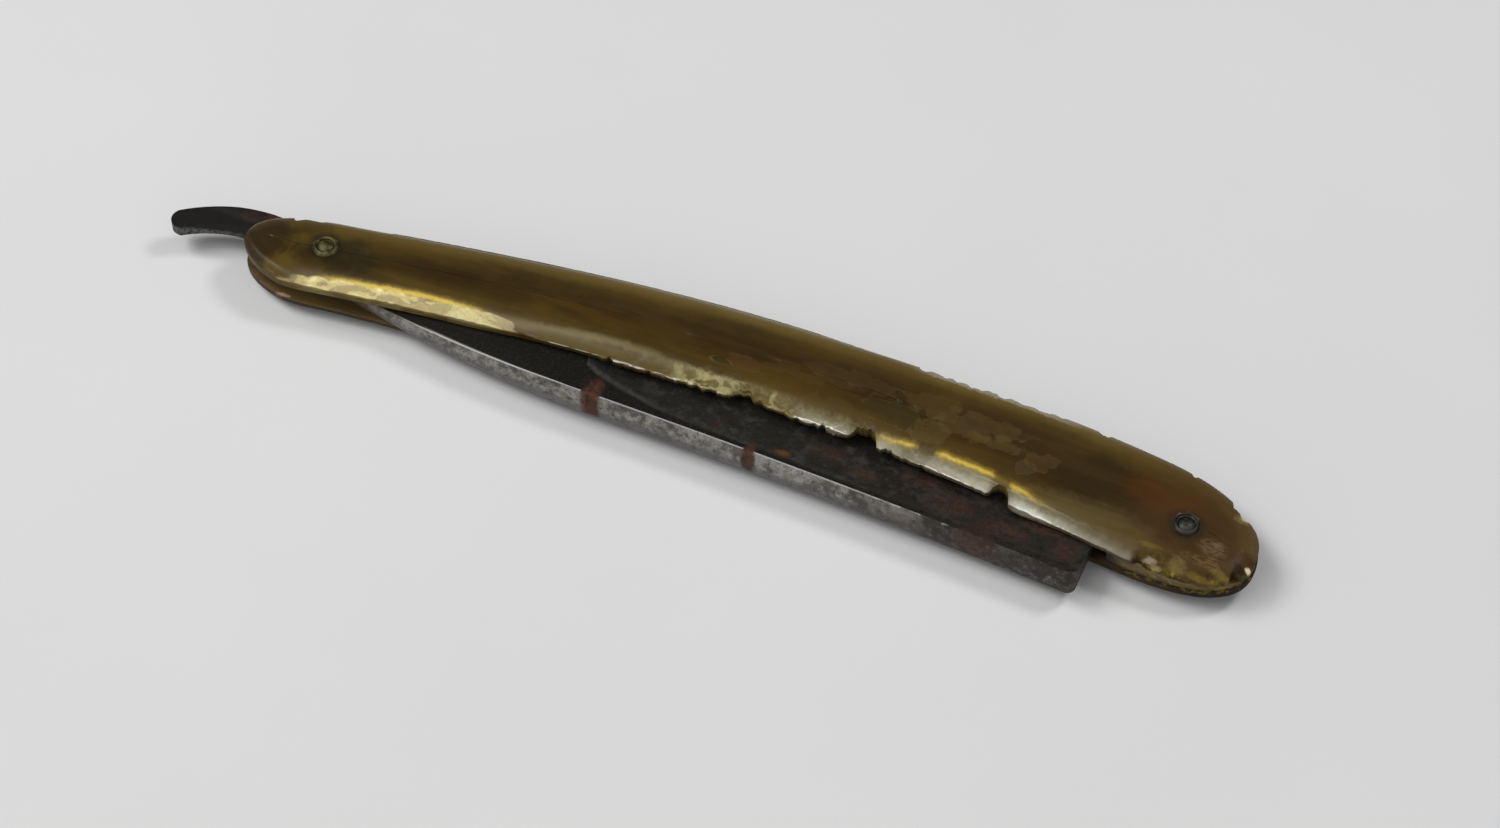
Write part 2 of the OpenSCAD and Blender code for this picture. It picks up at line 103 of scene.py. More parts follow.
def colour(red, green, blue):
    """A colour as seen on a screen, 0 to 255, as the linear values that a socket takes."""
    def linear(value):
        value /= 255
        return value / 12.92 if value <= 0.04045 else ((value + 0.055) / 1.055) ** 2.4
    return (linear(red), linear(green), linear(blue), 1.0)


class NodeTree:
    """A node tree that is built from nothing."""

    def __init__(self, owner):
        owner.use_nodes = True
        self.tree = owner.node_tree
        self.tree.nodes.clear()

    def plug(self, socket, value):
        if isinstance(value, Link):
            self.tree.links.new(value.socket, socket)
        else:
            socket.default_value = value

    def node(self, kind, settings=(), inputs=(), output=0):
        """A node of a type, its settings first, then the values or links of its sockets."""
        made = self.tree.nodes.new(kind)
        for key, value in dict(settings).items():
            if key == "stops":
                elements = made.color_ramp.elements
                while len(elements) < len(value):
                    elements.new(0.5)
                for stop, (place, tone) in zip(elements, value):
                    stop.position, stop.color = place, tone
            else:
                setattr(made, key, value)
        for key, value in dict(inputs).items():
            self.plug(made.inputs[key], value)
        if made.outputs:
            return Link(self, made.outputs[output])

    def maths(self, operation, *terms):
        return self.node("ShaderNodeMath", {"operation": operation}, dict(enumerate(terms)))

    def split(self, vector):
        """The three parts of a vector, from one node."""
        first = self.node("ShaderNodeSeparateXYZ", inputs={0: vector})
        return [Link(self, socket) for socket in first.socket.node.outputs]


class Finish(NodeTree):
    """A material: its principled shader, and what feeds it."""

    def __init__(self, name, **constants):
        self.material = bpy.data.materials.new(name)
        super().__init__(self.material)
        self.shader = self.node("ShaderNodeBsdfPrincipled").socket.node
        self.node("ShaderNodeOutputMaterial", inputs={"Surface": Link(self, self.shader.outputs[0])})
        for name, value in constants.items():
            self.feed(name.replace("_", " ").title().replace("Ior", "IOR"), value)

    def feed(self, name, value):
        self.plug(self.shader.inputs[name], value)

    def bump(self, height, distance):
        """Relief from a height that runs from 0 to 1, as deep as a distance in millimetres."""
        inputs = {"Height": height, "Distance": distance * MM, "Strength": 1.0}
        self.feed("Normal", self.node("ShaderNodeBump", inputs=inputs))

    def place(self):
        """Where a point of the piece is at rest, in millimetres of the pin frame."""
        spot = self.node("ShaderNodeTexCoord", output="Object")
        grown = self.node("ShaderNodeVectorMath", {"operation": "SCALE"}, {0: spot, "Scale": 1 / MM})
        return self.node("ShaderNodeVectorMath", {"operation": "SUBTRACT"}, {0: grown, 1: tuple(FRAME_SHIFT)})

    def attribute(self, name):
        return self.node("ShaderNodeAttribute", {"attribute_name": name}, output="Fac")


def stretched(vector, x, y, z):
    return vector.home.node("ShaderNodeVectorMath", {"operation": "MULTIPLY"}, {0: vector, 1: (x, y, z)})


def grain(vector, size, detail=4.0, rough=0.55, twist=0.0):
    """Smooth noise from 0 to 1 with lumps of a size in the vector's own units."""
    inputs = {"Vector": vector, "Scale": 1 / size, "Detail": detail, "Roughness": rough, "Distortion": twist}
    return vector.home.node("ShaderNodeTexNoise", {"noise_dimensions": "3D", "normalize": True}, inputs)


def cells(vector, size):
    """Distance to the nearest of points that are strewn a size apart."""
    return vector.home.node("ShaderNodeTexVoronoi", inputs={"Vector": vector, "Scale": 1 / size})


def ramp(value, low, high, start=0.0, end=1.0):
    """A smooth passage from start to end while the value goes from low to high."""
    inputs = {"Value": value, "From Min": low, "From Max": high, "To Min": start, "To Max": end}
    return value.home.node("ShaderNodeMapRange", {"interpolation_type": "SMOOTHSTEP"}, inputs)


def mix(share, base, other):
    """Base where share is 0 and other where it is 1; each is a link or a screen colour."""
    tones = [tone if isinstance(tone, Link) else colour(*tone) for tone in (base, other)]
    settings = {"data_type": "RGBA", "clamp_factor": True}
    return share.home.node("ShaderNodeMix", settings, {0: share, 6: tones[0], 7: tones[1]}, output=2)


def largest(*masks):
    result, *others = masks
    for mask in others:
        result = result.home.maths("MAXIMUM", result, mask)
    return result


def line(value, place, width):
    """A mask that is 1 where the value is at a place, and 0 beyond the width to both sides of it."""
    return ramp(abs(value - place), width, 0)


def off_centre(x, y, centre, reach):
    """Square of the distance from a centre, 1 on the oval with that reach."""
    return ((x - centre[0]) * (1 / reach[0])) ** 2 + ((y - centre[1]) * (1 / reach[1])) ** 2


def oval(x, y, centre, reach, ragged, amount, soft):
    """A mask that is 1 inside an oval place of the pin frame, with a ragged border."""
    across = off_centre(x, y, centre, reach) + (ragged - 0.5) * (amount * 4)
    return ramp(across, 1 + soft, 1 - soft)


FIRST_STOP, LAST_STOP = -20.0, 150.0     # places between which the tables of along() may have stops


def along(x, table, low=0.0, high=1.0):
    """A value that follows a table of places and values along the line of pins."""
    length = LAST_STOP - FIRST_STOP
    stops = [((place - FIRST_STOP) / length, ((value - low) / (high - low),) * 3 + (1.0,))
             for place, value in table.items()]
    grey = x.home.node("ShaderNodeValToRGB", {"stops": stops}, {0: (x - FIRST_STOP) * (1 / length)})
    return grey * (high - low) + low


# Camera, floor and light

def add_object(name, data):
    made = bpy.data.objects.new(name, data)
    bpy.context.scene.collection.objects.link(made)
    return made


def set_camera():
    """The photograph's view: 50 degrees above the table, a little to the right of the near side."""
    turn, rise = math.radians(22.743), math.radians(50)
    target, distance = Vector((7.7203, 1.9768, 0)) * MM, 497.8 * MM
    back = Vector((math.sin(turn) * math.cos(rise), -math.cos(turn) * math.cos(rise), math.sin(rise)))
    data = bpy.data.cameras.new("camera")
    data.sensor_fit = "HORIZONTAL"
    data.angle = math.radians(24)
    data.clip_start, data.clip_end = 0.01, 50
    camera = add_object("camera", data)
    camera.location = target + back * distance
    camera.rotation_euler = back.to_track_quat("Z", "Y").to_euler()
    bpy.context.scene.camera = camera


def set_lamp(name, place, aim, size, watts):
    data = bpy.data.lights.new(name, "AREA")
    data.shape, data.size, data.size_y, data.energy = "RECTANGLE", size[0], size[1], watts
    lamp = add_object(name, data)
    lamp.location = Vector(place)
    lamp.rotation_euler = (Vector(place) - Vector(aim)).to_track_quat("Z", "Y").to_euler()


def set_world(near_side, far_side, background):
    """A plain room, lighter on the camera's side and dim behind the razor."""
    world = bpy.data.worlds.new("studio")
    room = NodeTree(world)
    heading = room.split(room.node("ShaderNodeTexCoord", output="Generated"))
    fade = ramp(heading[1], -0.7, 0.5, near_side, far_side)
    light = room.node("ShaderNodeBackground", inputs={"Strength": fade})
    wall = room.node("ShaderNodeBackground", inputs={"Color": background})
    seen = room.node("ShaderNodeLightPath", output="Is Camera Ray")
    both = room.node("ShaderNodeMixShader", inputs={0: seen, 1: light, 2: wall})
    room.node("ShaderNodeOutputWorld", inputs={0: both})
    bpy.context.scene.world = world


def lay_floor():
    """Plain light paper with a few specks of dust."""
    finish = Finish("table_paper", roughness=0.9, ior=1.3)
    spot = finish.place()
    tone = mix(grain(spot, 60.0, 3.0), (212, 212, 212), (217, 217, 217))
    dust = ramp(cells(spot, 9.0), 0.035, 0.02) * ramp(grain(spot, 25.0, 2.0), 0.58, 0.64)
    finish.feed("Base Color", mix(dust * 0.5, tone, (120, 112, 100)))
    mesh = bpy.data.meshes.new("table")
    shape = bmesh.new()
    bmesh.ops.create_grid(shape, x_segments=8, y_segments=8, size=4.0)
    shape.to_mesh(mesh)
    shape.free()
    mesh.materials.append(finish.material)
    table = add_object("table", mesh)


set_camera()
set_world(0.8, 0.08, colour(212, 212, 212))
set_lamp("left_light", (-0.52, -0.12, 0.74), (-0.03, 0, 0), (0.4, 0.4), 3.7)
set_lamp("right_light", (0.42, 0.34, 0.76), (0.02, 0, 0), (0.22, 0.22), 2.5)
set_lamp("front_light", (-0.24, -0.4, 0.84), (0, 0, 0), (0.5, 0.22), 1.4)
lay_floor()
bpy.context.scene.view_settings.view_transform = "Standard"


# Shape of the scales

def ease(share):
    """A smooth passage from 0 to 1."""
    return (1 - np.cos(np.pi * np.clip(share, 0, 1))) / 2


def half_width(x):
    """Half width of a whole scale at places along the line of pins, rounded ends included."""
    x = np.asarray(x, float)
    narrow = PIVOT_WIDTH + (MIDDLE_WIDTH - PIVOT_WIDTH) * ease(x / CREST_PLACE)
    share = (x - CREST_PLACE) / (BROAD_PLACE - CREST_PLACE)
    broad = MIDDLE_WIDTH + (WEDGE_WIDTH - MIDDLE_WIDTH) * ease(share)
    width = np.where(x < CREST_PLACE, narrow, broad) / 2
    pivot_round = np.sqrt(np.clip(1 - (x / PIVOT_END) ** 2, 0, 1))
    wedge_share = np.clip((x - BROAD_PLACE) / BROAD_RUN, 0, 1)
    wedge_round = (1 - wedge_share ** END_POWER) ** (1 / END_POWER)
    return width * np.where(x < 0, pivot_round, 1) * np.where(x > BROAD_PLACE, wedge_round, 1)


def centre_line(x):
    """How high the middle of a scale runs in plan, from a level stretch at the pivot over a crest."""
    at = np.maximum(x, LEVEL_PLACE)
    before = PIVOT_SWEEP * (1 - ((at - CREST_PLACE) / CREST_PLACE) ** 2)
    after = PIVOT_SWEEP - WEDGE_SWEEP * ((at - CREST_PLACE) / (PIN_SPACING - CREST_PLACE)) ** 2
    return LEVEL_RISE + np.where(at < CREST_PLACE, before, after)


def whole_border(x, side):
    """Plan points of a scale's border before it broke: the far one for side 1, the near one for -1."""
    return np.stack([x, centre_line(x) + side * half_width(x)], 1)


def half_gap(x):
    """Distance from the mid plane to a scale's inner sheet: level, bowed, then straight at the wedge."""
    x = np.asarray(x, float)
    rise = PIVOT_GAP + (MIDDLE_GAP - PIVOT_GAP) * np.sin(
        np.pi / 2 * np.clip((x - FLAT_REACH) / (BOW_PLACE - FLAT_REACH), 0, 1))
    fall = MIDDLE_GAP - BOW_RATE * (x - BOW_PLACE) ** 2
    straight = MIDDLE_GAP - BOW_RATE * BOW_RUN ** 2 - WEDGE_TILT * (x - STRAIGHT_START)
    return np.where(x < BOW_PLACE, rise, np.where(x < STRAIGHT_START, fall, straight))


def outline_stations():
    """Places along the line of pins at which both borders of a scale are built."""
    first_round = -PIVOT_END * np.cos(np.linspace(0, np.pi / 2, 34))
    coarse, fine = 0.4, 0.16
    quiet = np.arange(coarse, BREAKS_START, coarse)
    broken = np.arange(BREAKS_START, BROAD_PLACE, fine)
    turn = np.linspace(0, np.pi / 2, 90)[1:]
    last_round = BROAD_PLACE + BROAD_RUN * np.sin(turn) ** (2 / END_POWER)
    return np.concatenate([first_round, quiet, broken, [BROAD_PLACE], last_round])


def finished_mesh(name, points, faces, crease=40):
    """A welded mesh in metres from points of the pin frame, smooth except across creases."""
    mesh = bpy.data.meshes.new(name)
    mesh.from_pydata(((points + FRAME_SHIFT) * MM).tolist(), [], faces)
    shape = bmesh.new()
    shape.from_mesh(mesh)
    bmesh.ops.remove_doubles(shape, verts=shape.verts, dist=2e-7)
    bmesh.ops.dissolve_degenerate(shape, edges=shape.edges, dist=1e-8)
    bmesh.ops.recalc_face_normals(shape, faces=shape.faces)
    shape.to_mesh(mesh)
    shape.free()
    mesh.polygons.foreach_set("use_smooth", [True] * len(mesh.polygons))
    mesh.set_sharp_from_angle(angle=math.radians(crease))
    return mesh


def follow(x, table, **beyond):
    """Values at places along the line of pins, from a table of places and values."""
    return np.interp(x, list(table), list(table.values()), **beyond)


def broken_border(x, side, chips, rough):
    """How far the border on a side, 1 far or -1 near, is broken back: chips and fine raggedness."""
    depth = follow(x, chips, left=0, right=0)
    if side > 0:
        depth = depth * follow(x, FAR_DEEPER)
    amount = follow(x, rough)
    for i, place in enumerate(x):
        fine = noise.fractal(Vector((place * 0.8, side * 7, 3)), 0.8, 2.2, 3)
        depth[i] += amount[i] * max(0.0, fine + 0.25)
    return depth


def border_height(inset):
    """Height of the rolled border over the inner sheet, at an inset from the rim."""
    share = np.clip(inset / ROLL_WIDTH, 0, 1)
    top = SCALE_THICKNESS - SCALE_CROWN
    return SCALE_RIM + (top - SCALE_RIM) * np.sqrt(1 - (1 - share) ** 2)


WALL_SHARES = (0.08, 0.35, 0.7, 1)       # heights of the rings of points on a scale's outer wall
# Insets of the rings of points on a scale's face
RINGS = [0, .05, .14, .28, .45, .65, .85, 1, 1.12, 1.24, 1.36, 1.5, 1.65, 1.8, 2, 2.2, 2.45, 2.8, 3.3, 4,
         4.8, 5.8, 6.8, 7.7]


def tube(index):
    """Faces between rows of point numbers, each row closed on itself."""
    low, high = index[:-1], index[1:]
    return np.stack([low, np.roll(low, -1, 1), np.roll(high, -1, 1), high], axis=-1).reshape(-1, 4).tolist()


def scale_form(far_break, near_break, relief):
    """A bowed, crowned plate of horn with a rolled border, whose border may be broken back."""
    x = outline_stations()
    first_core, last_core = -PIVOT_END / 2, BROAD_PLACE + BROAD_RUN * 0.5 ** (2 / END_POWER)
    core_x = np.clip(x, first_core, last_core)
    core = np.stack([core_x, centre_line(core_x)], 1)
    back_again = slice(-2, 0, -1)
    rim = np.concatenate([whole_border(x, 1), whole_border(x, -1)[back_again]])
    core = np.concatenate([core, core[back_again]])
    broken = np.concatenate([far_break, near_break[back_again]])
    near_side = np.arange(len(rim)) >= len(x)
    run = core - rim
    reach = np.linalg.norm(run, axis=1)
    run /= reach[:, None]
    count = len(rim)
    rows, outer_step, inner_step = [], 0.03, 0.02

    def add_row(inset, height):
        spot = rim + run * inset[:, None]
        rows.append(np.column_stack([spot, half_gap(spot[:, 0]) + height]))

    # Inner sheet from the core to the border, the broken wall, and the face back to the core
    for share in (1.0, 0.6, 0.25):
        add_row(broken + (reach - broken) * share, np.zeros(count))
    add_row(broken + 0.08, np.zeros(count))
    tops = []
    for k, ring in enumerate(RINGS):
        inset = np.maximum(ring + np.minimum(broken, 0), broken + outer_step * k)
        inset = np.minimum(inset, reach - inner_step * (len(RINGS) - k))
        height = border_height(inset)
        beyond = np.clip((inset - ROLL_WIDTH) / (reach - ROLL_WIDTH), 0, 1)
        height = height + np.where(inset > ROLL_WIDTH, SCALE_CROWN * (1 - (1 - beyond) ** 2), 0)
        if relief:
            height = relief(rim[:, 0] + run[:, 0] * inset, inset, near_side, height)
        tops.append((inset, height))
    rim_height = tops[0][1] - 0.05
    for part in WALL_SHARES:
        add_row(broken, rim_height * part)
    for inset, height in tops[1:]:
        add_row(inset, height)
    add_row(reach, np.full(count, SCALE_THICKNESS))
    points = np.concatenate(rows)
    points[:, 2] = np.minimum(points[:, 2], MID_HEIGHT)
    return points, tube(np.arange(len(points)).reshape(len(rows), count))


# Breaks in the borders: depth behind the whole border at places along the line of pins
NEAR_CHIPS = {
    -10.5: 0, -8: -.25, -4: -.5, 26: -.5, 34: -.1, 40: 0, 44.4: 0, 45: -.25, 45.5: -.1, 45.9: .3, 46.3: .1,
    46.7: -.3, 51.5: -.3, 52: 0, 52.4: -.25, 55: -.35, 57.2: -.3, 57.6: 0, 58.2: -.3, 60.4: -.4, 61: .05,
    61.6: -.2, 62.6: -.3, 64: -.2, 64.5: .25, 65.2: .75, 66.3: .9, 67.1: .5, 67.9: .15, 69: .25, 70.2: -.1,
    72: .05, 73.4: -.3, 77.6: -.3, 77.9: .15, 78.5: .2, 78.9: -.5, 80.2: -.6, 81.6: -.35, 82.2: .1, 82.7: .4,
    83.3: .8, 83.8: 1.15, 84.6: 1.35, 85.5: 1.25, 86: .7, 86.4: -.4, 87: -.45, 87.7: .1, 88.5: .1, 89.4: -.3,
    94: -.2, 99: 0, 102.8: 0, 103.3: .3, 103.7: 1, 104.4: 1.5, 105.3: 1.55, 105.9: 1, 106.4: -.3,
    107.2: -.55, 109: -.5, 114: 0, 120: 0, 124.9: 0, 125.3: .5, 126.2: .6, 126.8: .1, 137.6: .1, 138: .2,
    138.5: 1, 138.9: 1.2, 139.3: .3, 139.8: 0}
FAR_CHIPS = {
    -7.2: 0, -6.9: 1.1, -5.9: 1.3, -5.4: .7, -3.6: .6, -3.3: 1.1, -2.6: .7, -2: 0, 2: 0, 8: -.5, 70: -.5,
    80: -.3, 86.7: -.1, 87.2: .7, 88.2: .6, 88.9: .3, 90: .45, 91: .65, 92: .4, 93: .7, 94.2: .45, 95: .8,
    96.4: .7, 97.3: .35, 98.6: .45, 99.1: .8, 100: .75, 100.8: .35, 102: .55, 103: .7, 103.8: .45, 105: .7,
    106.4: .55, 107.2: .3, 108.6: .35, 110: 0, 112.5: 0, 113.5: .05, 114.3: .6, 115.2: .55, 115.6: .05,
    127.5: 0, 128.3: .6, 129: .05, 133.6: -.1, 134.6: .2, 135.2: .75, 136.2: .6, 137.2: .7, 138.2: .1,
    139: 0}
BACK_REACH = {-6: 0, 0: -.25, 8: -.45, 16: -.7, 30: -.7, 44: 0}
# How ragged the broken borders are
NEAR_ROUGH = {
    44: .02, 47: .12, 54: .25, 59: .5, 68: .5, 72: .3, 76: .3, 78: .6, 84: .6, 90: .35, 98: .12, 102: .2,
    106: .25, 109: .08, 117: .1, 123: .15, 126: .6, 131: .6, 133: .35, 138: .3}
FAR_ROUGH = {60: .05, 84: .1, 88: .35, 112: .3, 130: .25}
# How much deeper the far border's chips go than their table says
FAR_DEEPER = {84: 1, 88: 1.45, 110: 1.45, 114: 1.5}
EVEN = {0: 0}            # a border without fine raggedness
# How wide the eaten ledge is along the near border
LEDGE = {124.6: 0, 125.4: 1.4, 127: 2, 129.5: 2.1, 131: 1.6, 133: 1.1, 136.5: .9, 138.2: .5, 139: 0}
# Height of the scraped flat at the near border, and how steeply it rises inward
SCRAPED = {
    -8: 1.7, -5: 1.4, 0: 1.16, 22: 1.13, 27: 1.1, 31: 1.22, 35: 1.5, 38: 2, 70: 2, 75: 1, 78: .7, 82: .7,
    86: 1, 91: .9, 95: .7, 117: .7, 121: .8, 125: .85, 126: 1.6, 130.6: 1.6, 131.4: .8, 137: .8, 140: 1.1}
SCRAPED_SLOPE = {31: .65, 36: .95, 78: .95, 84: .8}
# Length and depth of the scraping strokes, and how their length wavers
STROKE, STROKE_DEPTH, WAVER, WAVER_LENGTH = 3.6, 0.09, 1.3, 6
# The near border's roll where it is worn: height of its wall, and width, top and power of its curve
NEAR_WALL = {31: 1.2, 37: .72}
WORN_WIDTH, WORN_TOP, WORN_POWER = 3.6, 2.28, 2.3
# The sturdier border round the pivot end: height of its wall, rise to its top and width
END_WALL, END_RISE, END_ROLL = 1.3, 0.9, 1.3
END_PLACE, END_FADE = -1.5, 4            # it begins here, and is whole so much nearer the tip
# The eaten ledge: height and rise of its floor, and a pit where a piece has broken out
LEDGE_FLOOR, LEDGE_RISE = 0.7, 0.34
PIT, PIT_INSET, PIT_REACH, PIT_DEPTH = (125.9, -7.6), 0.7, 0.6, 0.5
LEAST_HEIGHT = 0.3
# How deep the near border is gnawed
GNAWED_WIDTH = 4.5
GNAWED = {44: 0, 47: .12, 54: .1, 58: .45, 68: .45, 76: .25, 82: .45, 90: .24, 100: .05, 106: .1, 118: .06,
          140: .14}


def lump(x, y, size, seed):
    return noise.fractal(Vector((x / size, y / size, seed)), 0.7, 2.1, 3)


def scraped_flat(x, inset):
    """Height of the flat that was scraped along the near border, in short overlapping strokes."""
    waver = np.array([noise.noise(Vector((place / WAVER_LENGTH, 2.0, 5.0))) for place in x])
    stroke = (x / STROKE + WAVER * waver) % 1
    flat = follow(x, SCRAPED) + follow(x, SCRAPED_SLOPE) * inset
    return flat - STROKE_DEPTH * (1 - (2 * stroke - 1) ** 2)


def thick_end(inset):
    """Height of the sturdier border round the pivot end."""
    return END_WALL + END_RISE * (1 - (1 - np.clip(inset / END_ROLL, 0, 1)) ** 2)


def worn_roll(x, inset, height):
    """The near border's roll, worn flatter than it was sawn, over a wall that is taller at the pivot end."""
    wall = follow(x, NEAR_WALL)
    roll = np.clip(1 - inset / WORN_WIDTH, 0, 1) ** WORN_POWER
    return np.minimum(np.maximum(height, wall), wall + (WORN_TOP - wall) * (1 - roll))


def eaten_relief(x, inset, near_side, height):
    """The front scale's near border: scraped flat, gnawed along the bites, a crumbly ledge at the wedge."""
    result = np.where(near_side, np.minimum(worn_roll(x, inset, height), scraped_flat(x, inset)), height)
    ledge, crumble = follow(x, LEDGE, left=0, right=0), follow(x, GNAWED)
    for i in np.nonzero(near_side & (x > BREAKS_START) & (inset < GNAWED_WIDTH))[0]:
        # A ledge with a ragged, sloping floor and one deep pit, then lumps on what is left
        fine = lump(x[i], inset[i], 1.5, 5.0)
        edge = ledge[i] * (1 + 0.5 * lump(x[i], 0, 2.8, 9.0))
        eaten = min(max((edge - inset[i]) / 0.7 + 0.5, 0), 1)
        pit = math.exp(-((x[i] - PIT[0]) / PIT_REACH) ** 2 - ((inset[i] - PIT_INSET) / PIT_REACH) ** 2)
        uneven = 0.3 * noise.noise(Vector((x[i] / 1.7, inset[i] / 1.4, 7.0)))
        floor = LEDGE_FLOOR - PIT_DEPTH * pit + uneven + LEDGE_RISE * inset[i]
        result[i] += (min(floor, result[i]) - result[i]) * eaten
        result[i] += crumble[i] * fine * max(0.0, 1 - inset[i] / 2.4) * (1 - eaten * 0.7)
    pivot_share = np.clip((END_PLACE - x) / END_FADE, 0, 1)
    result = result + (np.maximum(result, thick_end(inset)) - result) * pivot_share
    return np.maximum(result, LEAST_HEIGHT)


def turned_profile(name, profile, seat, place, mirrored, dents, crease=50):
    """A turned piece from radius and height pairs over its seat, with hammer dents."""
    steps = 96
    points = []
    for radius, height in profile:
        for k in range(steps):
            turn = 2 * math.pi * k / steps
            x, y = radius * math.cos(turn), radius * math.sin(turn)
            dent = dents * noise.fractal(Vector((x * 1.4, y * 1.4, seat + place)), 0.8, 2.0, 3)
            z = seat + height + (dent if height > 0.02 else 0)
            points.append((x + place, y, -z if mirrored else z))
    faces = tube(np.arange(len(points)).reshape(len(profile), steps))
    return finished_mesh(name, np.array(points), faces, crease)


# Shape of the blade, its tang and its tail

SLOPE = math.radians(3.07)               # of the spine against the line of pins
SHOULDER = np.array([43.0, -9.9])        # where the spine begins, and where places along it are counted from
SPINE_RUN = np.array([math.cos(SLOPE), -math.sin(SLOPE)])
SPINE_NORMAL = np.array([math.sin(SLOPE), math.cos(SLOPE)])
BLADE_LENGTH, BLADE_WIDTH = 75.7, 19.0
SPINE_HALF, EDGE_HALF = 2.35, 0.12       # half thicknesses
SPINE_HOLLOW = 0.6                       # how far the spine's line dips in its middle
SPINE_ARC = (BLADE_LENGTH ** 2 / 4 + SPINE_HOLLOW ** 2) / (2 * SPINE_HOLLOW)
FACE_FALL = (SPINE_HALF - EDGE_HALF) / (BLADE_WIDTH + SPINE_HOLLOW)
WHEEL_RADIUS, RUNOUT_RADIUS, RUNOUT_LEAD = 55.0, 75.0, 8.0
LAND, BEVEL = 1.5, BLADE_WIDTH - 0.7     # where the hollow begins and ends across the blade
BACK_RADIUS, POINT_RADIUS = 5.0, 1.2
HEEL_STEP, HEEL_RADIUS = 2.5, 2.5
TANG_HALF, TANG_FLAT = 1.3, 13.0
TAIL_ROOT, TAIL_TIP, TIP_HALF = -8.0, -24.4, 0.9
TANG_BACK, BACK_TURN = 195.0, math.radians(3)
BACK_CENTRE = SHOULDER + TANG_BACK * np.array([math.sin(BACK_TURN), math.cos(BACK_TURN)])
BOSS_RADIUS, BOSS_END = 4.2, 4.4
OUTER_CENTRE, OUTER_RADIUS = np.array([-11.0, -18.0]), 23.0
INNER_CENTRE, INNER_RADIUS = np.array([-13.0, -15.8]), 16.5
TIP_CENTRE, TIP_RADIUS = np.array([-23.1, -0.65]), 1.9
FAN_CENTRE, FAN_END = np.array([-12.0, -17.0]), math.radians(70)
BELLY_START, BELLY_HEIGHT, BELLY_FALL, BELLY_LENGTH = -11.0, 5.0, 3.7, 57.5
ARRIS = 0.08                             # width of the worn corner between back and face


def arc_height(x, centre, radius, side):
    """Height of a circle over a place, on its upper side for 1 and its lower side for -1."""
    return centre[1] + side * np.sqrt(np.maximum(radius ** 2 - (x - centre[0]) ** 2, 0))


def along_ray(start, heading, centre, radius, side=1):
    """Distance from a start at which a ray leaves a circle, or enters it where side is -1."""
    offset = start - centre
    middle = -offset @ heading
    return middle + side * math.sqrt(max(radius ** 2 - offset @ offset + middle ** 2, 0))


def belly_line(x):
    return BELLY_HEIGHT - (x - BELLY_START) * BELLY_FALL / BELLY_LENGTH


def tail_stations():
    """Pairs of border points from the tail's tip to the boss, spread like a fan about the tail's curve."""
    pairs = []
    tip = TIP_CENTRE - FAN_CENTRE
    tip_turn, tip_reach = math.atan2(tip[1], tip[0]), math.hypot(*tip)
    last_turn = tip_turn + math.asin(TIP_RADIUS / tip_reach)
    round_turns = [tip_turn + (last_turn - tip_turn) * math.sin(a) for a in np.linspace(math.pi / 2, 0, 12)]
    for turn in round_turns[1:] + list(np.linspace(tip_turn, FAN_END, 44))[1:]:
        heading = np.array([math.cos(turn), math.sin(turn)])
        outer = along_ray(FAN_CENTRE, heading, OUTER_CENTRE, OUTER_RADIUS)
        inner = along_ray(FAN_CENTRE, heading, INNER_CENTRE, INNER_RADIUS)
        if turn > tip_turn:
            outer = min(outer, along_ray(FAN_CENTRE, heading, TIP_CENTRE, TIP_RADIUS))
            inner = max(inner, along_ray(FAN_CENTRE, heading, TIP_CENTRE, TIP_RADIUS, -1))
        far = FAN_CENTRE + heading * outer
        if far[0] > OUTER_CENTRE[0]:
            far = far + heading * ((belly_line(far[0]) - far[1]) / heading[1])
        pairs.append((FAN_CENTRE + heading * inner, far))
    return pairs


def tang_back(x):
    """Border of the tang's back, round the boss at the pivot and into the tail's inner curve."""
    boss = -np.sqrt(max(BOSS_RADIUS ** 2 - x ** 2, 0))
    if x < -1.0:
        return min(boss, arc_height(x, INNER_CENTRE, INNER_RADIUS, 1))
    return min(boss, arc_height(x, BACK_CENTRE, TANG_BACK, -1))


def tang_pair(x):
    return np.array([x, tang_back(x)]), np.array([x, belly_line(x)])


